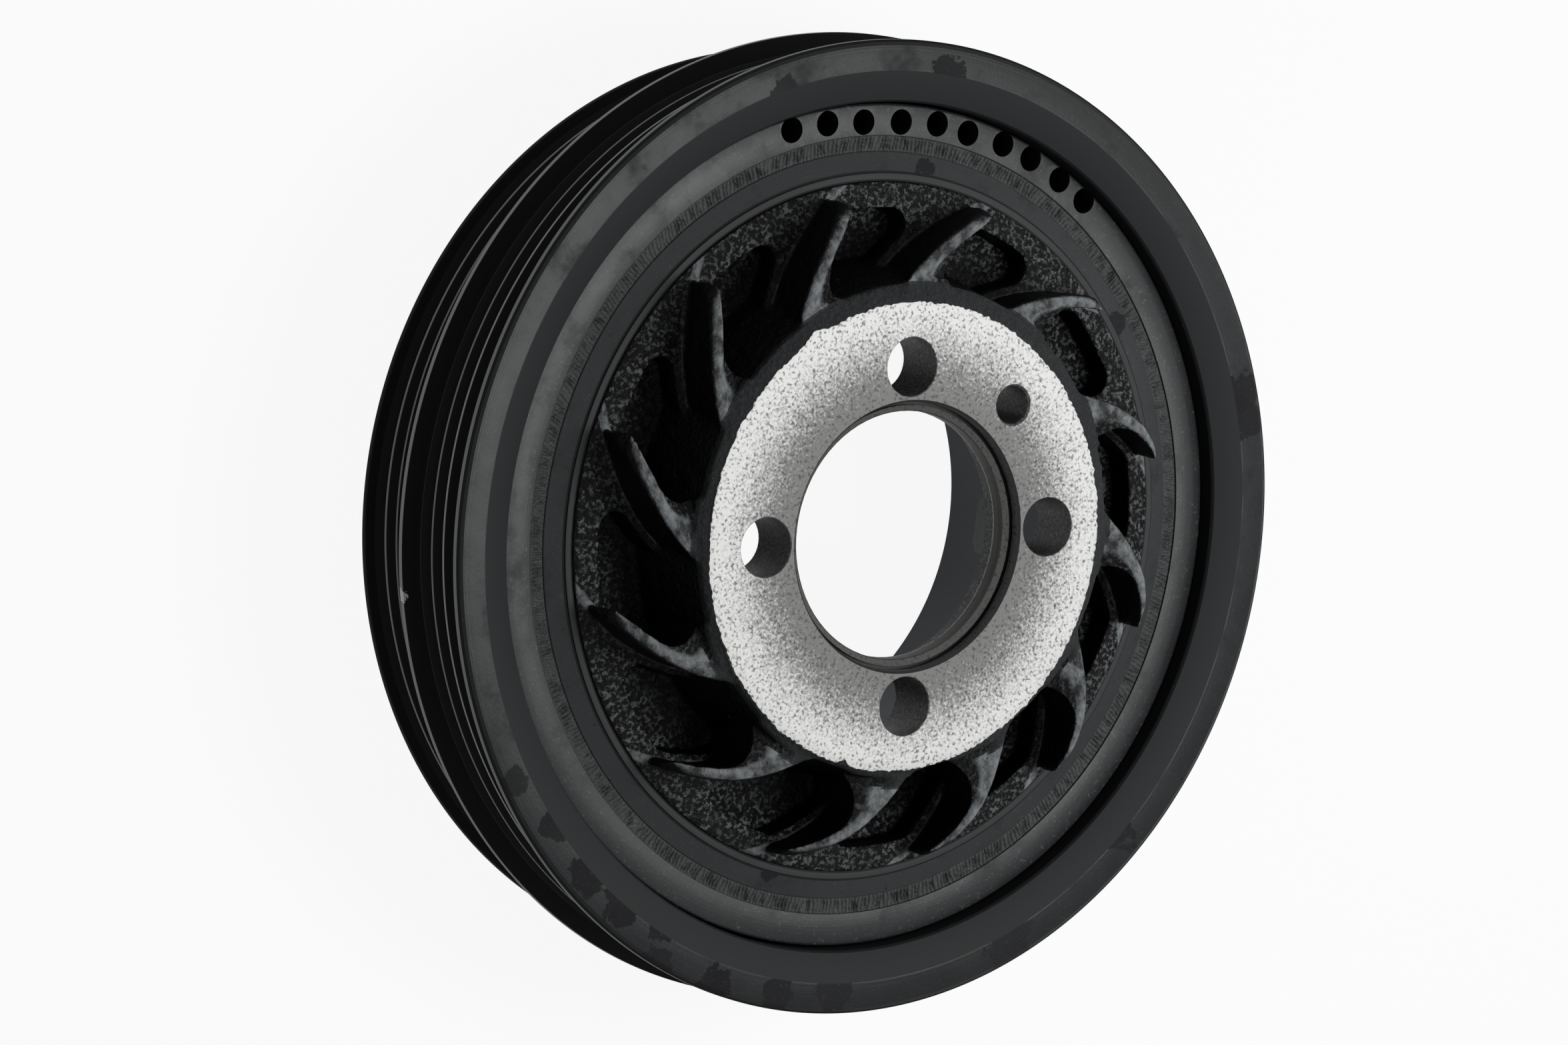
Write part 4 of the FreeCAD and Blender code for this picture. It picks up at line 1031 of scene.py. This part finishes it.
@dataclass
class TorsionalDamper:
    """The inertia ring and the rubber that bonds it to the hub."""

    inner: float = 66.83
    outer: float = 72.35
    skirt: float = 70.15
    face: float = 33.8
    step: float = 19.45
    rear: float = 11.9
    rubber_inner: float = 64.24
    rubber_top: float = 33.5
    rubber_bottom: float = 12.7
    hole_radius: float = 2.2
    hole_depth: float = 9.0
    holes: tuple[Point, ...] = (
        (70.22, 103.2), (69.78, 97.2), (69.24, 91.1), (69.29, 84.7), (69.83, 78.5),
        (69.65, 73.0), (70.21, 66.7), (70.36, 61.4), (70.30, 55.4), (70.45, 50.1))
    rope_pitch: float = 0.75
    rope_depth: float = 0.30
    kink_size: float = 5.0
    fray_size: float = 1.3

    def build_ring(self) -> None:
        """Build the inertia ring with its balance holes."""
        ring = turned("damper_ring", rounded([
            (self.inner, self.rear, 0.15),
            (self.skirt, self.rear, 0.4),
            (self.skirt, self.step, 0.1),
            (self.outer, self.step, 0.2),
            (self.outer, self.face, 0.4),
            (self.inner, self.face, 0.15),
        ]), 288)
        cutters = drills("balance_drills", [
            (reach, angle, self.hole_radius) for reach, angle in self.holes],
            self.face - self.hole_depth, self.face + 2.0)
        combine(ring, cutters, Cut.REMOVE)
        smooth(ring.data)
        finish = PhosphatedSteel(
            "turned_iron_phosphated", "#252728", 0.33, blotches=0.35, gloss=0.18,
            rubs=(Patch(-33.0, 58.9, 4.5, 0.26), Patch(-38.0, 54.9, 3.0, 0.2)),
            # Painted shade: the ring's sides and rear below the face are black, as shade in the
            # gap beside the rim.
            shades=(ShadedZone((66.0, 74.0), (0.0, self.face - 0.45), "#070707"),))
        hand_over(ring, finish.material(), "ring_casting", "inertia_ring")

    def rope(self, radius: np.ndarray, height: np.ndarray,
             angle: np.ndarray) -> tuple[np.ndarray, np.ndarray]:
        """Raise the ropy strands that cross the rubber's front end.

        Args:
            radius: Radii of the points.
            height: Heights of the points.
            angle: Directions of the points.

        Returns:
            Radii and heights with the strands.
        """
        middle = (self.inner + self.rubber_inner) / 2
        across = (radius - self.rubber_inner) / (self.inner - self.rubber_inner)
        along = angle * middle
        places = np.stack((np.cos(angle) * middle, np.sin(angle) * middle, across * 1.5),
                          axis=-1).reshape(-1, 3)
        kink = wander(places, self.kink_size).reshape(radius.shape)
        fray = wander(places, self.fray_size, 7.0).reshape(radius.shape)
        phase = along / self.rope_pitch + (0.6 + 1.6 * kink) * across + 0.5 * fray
        strand = np.sin(2 * math.pi * phase) * (0.6 + 0.4 * fray)
        edge = np.clip(np.minimum(across, 1 - across) / 0.12, 0, 1)
        on_face = height > self.rubber_top - 0.05
        return radius, height + np.where(on_face, self.rope_depth * strand * edge, 0.0)

    def build_rubber(self) -> None:
        """Build the rubber ring with its ropy front end."""
        steps = 9
        face = [
            (self.rubber_inner + (self.inner - self.rubber_inner) * step / steps,
             self.rubber_top) for step in range(steps + 1)]
        section = [(self.inner, self.rubber_bottom), (self.rubber_inner, self.rubber_bottom)]
        rubber = turned("damper_band", section + face, 3000, self.rope, 60.0)
        finish = MouldedRubber("moulded_rubber_dusty", "#343737", 0.6)
        hand_over(rubber, finish.material(), "damper_rubber", "damper_rubber")

    def build(self) -> None:
        """Build both pieces."""
        self.build_ring()
        self.build_rubber()


@dataclass
class CastHub:
    """The cast hub: vanes and web, machined flange, rim and rear cup."""

    face: float = 47.86
    face_radius: float = 39.84
    face_shift: float = 0.42
    raggedness: tuple[Triple, ...] = ((0.22, 3.0, 11.0), (0.3, 0.8, 5.0))
    bulge: Triple = (1.0, 119.0, 2.6)
    nick: Triple = (-0.9, 252.0, 1.3)
    flange_core: float = 38.2
    core_bottom: float = 37.0
    web_seat: float = 29.0
    web: float = 36.5
    cavity: float = 41.2
    journal: float = 46.0
    bond: float = 64.24
    rear: float = 11.9
    bead_inner: float = 59.3
    grain_voxel: float = 0.42
    kept_faces: float = 0.47
    lump_depth: float = 0.10
    lump_size: float = 2.6
    pebble_size: float = 1.1
    slope_gap: float = 0.05
    top_gap: float = 0.06
    top_depth: float = 1.2
    top_reach: float = 43.5
    border_edge: float = 58.6
    edge_slope: float = 0.37
    patch_angles: Point = (-14.0, 0.0)
    patch_heights: Point = (10.0, 16.6)
    patch_stand: float = 0.12
    patch_relief: float = 0.14
    patch_sink: float = 0.1
    boss_shift: float = 1.3
    boss_edge: float = 41.9
    vanes: VaneLines = VaneLines()

    def build_flange(self) -> None:
        """Build the machined middle of the flange with its holes."""
        core = copied_node("hub", "hub_flange")
        keep = turned("flange_keep", [
            (4.0, self.core_bottom), (self.flange_core, self.core_bottom),
            (self.flange_core, self.face + 1), (4.0, self.face + 1)], 256)
        combine(core, keep, Cut.KEEP)
        smooth(core.data, 28.0)
        for face in core.data.polygons:
            face.use_smooth = abs(face.normal.z) < 0.99
        hand_over(core, self.zinc(), "hub_casting", "hub")

    def zinc(self) -> bpy.types.Material:
        """Return the milled face's material, made once."""
        finish = BlastedZinc("milled_face_zinc_flake", "#c4c4c3", 0.55, shades=(
            # Rings in the bore: the black ones are painted shade at its mouth and in its corners,
            # the recess wall is painted paler grey as painted light, and the pale ring at the
            # lip's rear edge is a painted highlight; the lip face is brownish grey and the lip's
            # bore below the black line darker grey.
            ShadedZone((22.6, 23.6), (47.45, 47.84), "#0c0c0c"),
            ShadedZone((22.6, 23.45), (45.95, 47.45), "#6c6e6e"),
            ShadedZone((22.2, 23.45), (44.9, 45.95), "#040404"),
            ShadedZone((21.35, 22.3), (45.15, 46.2), "#4b4a48"),
            ShadedZone((21.0, 21.35), (44.3, 46.0), "#0a0a0a"),
            ShadedZone((21.0, 21.35), (43.05, 44.3), "#3a3937"),
            ShadedZone((21.0, 21.6), (42.5, 43.05), "#a2a3a1"),
        ))
        return bpy.data.materials.get(finish.name) or finish.material()

    def border(self, angle: np.ndarray) -> np.ndarray:
        """Return the radius at which the milled face ends, ragged and a little off centre.

        Args:
            angle: Directions in radians.

        Returns:
            One radius for each direction.
        """
        along = np.stack((np.cos(angle) * 40, np.sin(angle) * 40, 0 * angle), axis=-1)
        ragged = sum(depth * wander(along, size, seed) for depth, size, seed in self.raggedness)
        edge = self.face_radius - self.face_shift * np.cos(angle) + ragged
        for size, direction, width in (self.bulge, self.nick):
            edge += size * np.exp(-((np.degrees(angle) % 360 - direction) / width) ** 2)
        return edge

    def weather(self, casting: Object) -> None:
        """Give the casting its sandy surface, round crests and sloping top edge.

        Args:
            casting: The remeshed casting.
        """
        places = read_points(casting.data)
        normals = np.empty(len(places) * 3)
        casting.data.vertices.foreach_get("normal", normals)
        normals = normals.reshape(-1, 3)
        lumps = wander(places, self.lump_size) + 0.6 * wander(places, self.pebble_size, 3.0)
        radius = np.hypot(places[:, 0], places[:, 1])
        from_boss = np.hypot(places[:, 0], places[:, 1] - self.boss_shift)
        crest = self.vanes.height(radius) - self.vanes.drop(self.vanes.distance(places))
        outside = np.clip((from_boss - self.boss_edge) / 1.0, 0, 1)
        limit = np.maximum(crest * outside + (self.face + 1) * (1 - outside), self.web + 0.1)
        places[:, 2] = np.minimum(places[:, 2], limit)
        rough = np.where(radius < self.border_edge, 1.0, 0.3) * self.lump_depth
        places += normals * (lumps * rough)[:, None]
        radius = np.hypot(places[:, 0], places[:, 1])
        angle = np.arctan2(places[:, 1], places[:, 0])
        slope = self.face - self.slope_gap + (self.border(angle) - radius) * self.edge_slope
        top = np.minimum(self.face - self.top_gap, slope)
        upper = (places[:, 2] > self.face - self.top_depth) & (radius < self.top_reach)
        places[:, 2] = np.where(upper, np.minimum(top, places[:, 2]), places[:, 2])
        write_points(casting.data, places)

    def build_face_edge(self) -> None:
        """Build the outer ring of the milled face, which ends in a ragged line."""
        def reach_out(radius: np.ndarray, height: np.ndarray,
                      angle: np.ndarray) -> tuple[np.ndarray, np.ndarray]:
            """Stretch the ring's outer side to the ragged border."""
            edge = self.border(angle[:, 0])[:, None]
            return np.where(radius > self.flange_core + 0.5, edge + radius - 40, radius), height

        # The section ends at a radius of 40, from where it's stretched to the border.
        ring = turned("hub_face_edge", [
            (self.flange_core, self.face - 0.6), (40.3, self.face - 0.6),
            (40.12, self.face - 0.03), (40.0, self.face),
            (self.flange_core, self.face)], 1440, reach_out)
        hand_over(ring, self.zinc(), "hub_casting", "hub")

    def build_casting(self) -> None:
        """Build the rough casting: boss, web, vanes, pockets and border."""
        casting = copied_node("hub", "hub_casting")
        low, high = self.web_seat, self.face + 1
        keep = turned("casting_keep", [
            (41.5, low), (self.bead_inner - 0.02, low), (self.bead_inner - 0.02, high),
            (self.flange_core - 0.3, high), (self.flange_core - 0.3, 38.6), (41.5, 38.6)], 360)
        combine(casting, keep, Cut.KEEP)
        remesh = casting.modifiers.new("grain", "REMESH")
        remesh.mode = "VOXEL"
        remesh.voxel_size = self.grain_voxel * MM
        soften = casting.modifiers.new("soften", "SMOOTH")
        soften.iterations = 5
        soften.factor = 0.5
        settle(casting)
        self.weather(casting)
        thin = casting.modifiers.new("thin", "DECIMATE")
        thin.ratio = self.kept_faces
        settle(casting)
        smooth(casting.data, 180.0)
        finish = SandCastIron(
            "sand_cast_iron_black", "#050506", 0.42, self.vanes,
            shades=(ShadedZone((38.0, 43.4), (46.0, 48.5), "#282a2b", 0.9),))
        hand_over(casting, finish.material(), "hub_casting", "hub")

    def build_rim(self) -> None:
        """Build the machined hub rim, shoulder, journal and rear cavity."""
        body = turned("hub_rim", rounded([
            (self.bond, 33.72, 0.25),
            (60.6, 34.6, 0.05),
            (60.6, 34.95, 0.08),
            (59.3, 34.95, 0.08),
            (58.9, 34.5, 0.0),
            (58.9, 30.2, 0.0),
            (41.7, 30.2, 0.0),
            (41.7, 38.6, 0.0),
            (39.0, 38.6, 0.0),
            (39.0, 37.9, 0.0),
            (self.cavity, 37.9, 0.5),
            (self.cavity, 2.05, 0.1),
            (self.cavity + 0.4, 1.65, 0.1),
            (45.6, 1.65, 0.1),
            (self.journal, 2.05, 0.1),
            (self.journal, 2.6, 0.05),
            (44.8, 2.6, 0.05),
            (44.8, 3.8, 0.05),
            (self.journal, 3.8, 0.05),
            (self.journal, 22.3, 0.2),
            (49.5, 22.3, 0.2),
            (49.5, 26.5, 1.0),
            (57.0, 26.5, 1.0),
            (57.0, self.rear, 0.3),
            (self.bond, self.rear, 0.3),
        ]), 320)
        finish = PhosphatedSteel(
            "turned_casting_coated", "#2a2c2d", 0.5, blotches=0.4, gloss=0.2,
            patches=(Patch(11.4, 61.0, 2.2, 0.8), Patch(52.6, 32.4, 2.2, 0.8),
                     Patch(-17.6, -58.1, 2.2, 0.8)),
            shades=(
                # Painted shade: black rings in the joints at the bead's two edges. Painted light:
                # the cavity wall is pale grey, which stands in for light inside the dark cup. The
                # bead is a little lighter and rougher.
                ShadedZone((60.5, 61.0), (33.9, 34.88), "#030303", roughness=0.7),
                ShadedZone((58.8, 59.6), (29.0, 35.2), "#030303", roughness=0.7),
                ShadedZone((59.6, 60.55), (34.88, 35.1), "#2c2e2f", roughness=0.6),
                ShadedZone((40.9, 41.4), (1.0, 37.0), "#94979a", roughness=0.6),
            ))
        hand_over(body, finish.material(), "hub_casting", "hub")

    def build_cast_patch(self) -> None:
        """Build the place on the cavity's wall that the turning tool left as cast."""
        columns, rows, corner = 44, 36, 7
        low, high = self.patch_heights
        first, last = self.patch_angles
        angle, height = np.meshgrid(np.radians(np.linspace(first, last, columns)),
                                    np.linspace(low, high, rows), indexing="ij")
        skin = np.stack((np.cos(angle) * 40, np.sin(angle) * 40, height), axis=-1)
        lumps = wander(skin.reshape(-1, 3), 1.3, 2.0).reshape(angle.shape)
        radius = self.cavity - self.patch_stand - self.patch_relief * lumps
        # The patch's edge lies inside the wall, and its corners are cut off.
        radius[[0, -1], :] = self.cavity + self.patch_sink
        radius[:, [0, -1]] = self.cavity + self.patch_sink
        places = np.stack((radius * np.cos(angle), radius * np.sin(angle), height), axis=-1)
        numbers = np.arange(columns * rows).reshape(columns, rows).tolist()
        faces = [
            (numbers[i][j], numbers[i][j + 1], numbers[i + 1][j + 1], numbers[i + 1][j])
            for i in range(columns - 1) for j in range(rows - 1)
            if min(i, columns - 2 - i) + min(j, rows - 2 - j) > corner
        ]
        mesh = bpy.data.meshes.new("cavity_cast_patch")
        mesh.from_pydata((places.reshape(-1, 3) * MM).tolist(), [], faces)
        shell = bmesh.new()
        shell.from_mesh(mesh)
        loose = [vert for vert in shell.verts if not vert.link_faces]
        bmesh.ops.delete(shell, geom=loose, context="VERTS")
        shell.to_mesh(mesh)
        shell.free()
        smooth(mesh, 60.0)
        patch = new_object("cavity_cast_patch", mesh)
        # The as-cast patch is painted near white, painted light that stands in for light on it
        # inside the dark cup.
        finish = PhosphatedSteel("cavity_as_cast_painted_light", "#d8dada", 0.7, fleck_colour="#ffffff",
                                 blotches=0.0, gloss=0.1)
        hand_over(patch, finish.material(), "hub_casting", "hub")

    def build(self) -> None:
        """Build the hub's surfaces."""
        self.build_flange()
        self.build_face_edge()
        self.build_casting()
        self.build_rim()
        self.build_cast_patch()


@dataclass
class RearDrive:
    """The hidden pieces that carry the belt rim: CAD solids with their finishes."""

    def build(self) -> None:
        """Dress the CAD nodes that stay."""
        finishes: dict[str, Finish] = {
            "drive_disc": PhosphatedSteel("pressed_sheet_coated", "#343638", 0.5, blotches=0.6),
            "carrier_ring": PhosphatedSteel("pressed_ring_coated", "#38393b", 0.5, blotches=0.6),
            "plain_bearing": BareSteel("bearing_strip_sintered", "#6e6a62", 0.4),
            "isolation_rubber": MouldedRubber("moulded_rubber_black", "#1d1e1e", 0.8),
            "thrust_washer": BareSteel("hardened_steel_oiled", "#5b5c5e", 0.35),
            "retaining_ring": BareSteel("spring_steel_blued", "#3c3e42", 0.35),
        }
        for node, finish in finishes.items():
            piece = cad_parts[node]
            piece.data.materials.clear()
            piece.data.materials.append(finish.material())
            log.info("%s: dressed as %s", node, finish.name)


# Studio.

@dataclass
class Softbox:
    """A square lamp that looks at a point of the pulley."""

    name: str
    place: Triple
    size: float
    watts: float
    target: Triple = (0.0, 0.0, 0.03)

    def build(self) -> None:
        """Add the lamp; place, size and target are metres."""
        light = bpy.data.lights.new(self.name, "AREA")
        light.shape = "SQUARE"
        light.size = self.size
        light.energy = self.watts
        lamp = bpy.data.objects.new(self.name, light)
        bpy.context.scene.collection.objects.link(lamp)
        lamp.location = self.place
        way = Vector(self.target) - Vector(self.place)
        lamp.rotation_euler = way.to_track_quat("-Z", "Y").to_euler()
        lamp.visible_camera = False


@dataclass
class Studio:
    """White floor, white background, softboxes and the camera."""

    floor_size: float = 6.0
    fill: float = 0.16
    floor_glow: float = 0.92
    floor_gap: float = 0.05
    camera_place: Triple = (-0.82731, 0.20073, 1.22386)
    camera_target: Triple = (0.00711, -0.00398, 0.0)
    camera_up: Triple = (0.05953, 0.99036, -0.12507)
    focal_length: float = 197.12
    sensor: float = 36.0

    def seen(self, tree: Tree) -> Socket:
        """Return a socket that is 1 for camera, glossy and transmission rays."""
        path = add_node(tree, "LightPath")
        first = add_node(tree, "Math", {
            0: path.outputs["Is Camera Ray"], 1: path.outputs["Is Glossy Ray"]},
            operation="MAXIMUM")
        return add_node(tree, "Math", {
            0: first.outputs[0], 1: path.outputs["Is Transmission Ray"]},
            operation="MAXIMUM").outputs[0]

    def build_world(self) -> None:
        """Make the background white and the fill light plain."""
        world = bpy.data.worlds.new("studio")
        bpy.context.scene.world = world
        world.use_nodes = True
        tree = world.node_tree
        tree.nodes.clear()
        strength = add_node(tree, "MapRange", {
            "Value": self.seen(tree), "To Min": self.fill, "To Max": 1.0})
        sky = add_node(tree, "Background", {
            "Color": (1.0, 1.0, 1.0, 1.0), "Strength": strength.outputs["Result"]})
        add_node(tree, "OutputWorld", {"Surface": sky.outputs[0]})

    def build_floor(self) -> None:
        """Lay the white floor, which keeps a faint shadow."""
        half = self.floor_size / 2
        mesh = bpy.data.meshes.new("floor")
        # A hair below the pulley's end, so that the two never share a plane.
        low = -self.floor_gap * MM
        mesh.from_pydata([(-half, -half, low), (half, -half, low), (half, half, low),
                          (-half, half, low)], [], [(0, 1, 2, 3)])
        floor = new_object("floor", mesh)
        material = bpy.data.materials.new("white_paper_floor")
        material.use_nodes = True
        tree = material.node_tree
        tree.nodes.clear()
        paper = add_node(tree, "BsdfDiffuse", {"Color": linear("#e6e6e6")})
        glow = add_node(tree, "Emission", {
            "Color": (1.0, 1.0, 1.0, 1.0), "Strength": 1.0})
        share = add_node(tree, "Math", {
            0: self.seen(tree), 1: self.floor_glow}, operation="MULTIPLY")
        surface = add_node(tree, "MixShader", {
            0: share.outputs[0], 1: paper.outputs[0], 2: glow.outputs[0]})
        add_node(tree, "OutputMaterial", {"Surface": surface.outputs[0]})
        mesh.materials.append(material)

    def build_camera(self) -> None:
        """Set the camera that was fitted to the photograph's circles."""
        data = bpy.data.cameras.new("camera")
        data.lens = self.focal_length
        data.sensor_width = self.sensor
        data.sensor_fit = "HORIZONTAL"
        data.clip_end = 20.0
        camera = bpy.data.objects.new("camera", data)
        bpy.context.scene.collection.objects.link(camera)
        place = Vector(self.camera_place)
        forward = (Vector(self.camera_target) - place).normalized()
        right = forward.cross(Vector(self.camera_up)).normalized()
        up = right.cross(forward)
        turn = Matrix((right, up, -forward)).transposed().to_4x4()
        camera.matrix_world = Matrix.Translation(place) @ turn
        bpy.context.scene.camera = camera

    def build(self) -> None:
        """Build the studio."""
        self.build_world()
        self.build_floor()
        self.build_camera()
        Softbox("key_softbox", (0.19, 0.0, 0.46), 0.21, 1.35).build()
        Softbox("side_softbox", (0.44, 0.06, 0.32), 0.16, 0.35).build()
        bpy.context.scene.view_settings.view_transform = "Standard"


def main() -> None:
    """Build the studio and every piece."""
    logging.basicConfig(level=logging.INFO, format="%(name)s %(message)s")
    Studio().build()
    for part in (BeltRim(), TorsionalDamper(), CastHub(), RearDrive()):
        part.build()
        log.info("%s done", type(part).__name__)


if __name__ == "__main__":
    main()
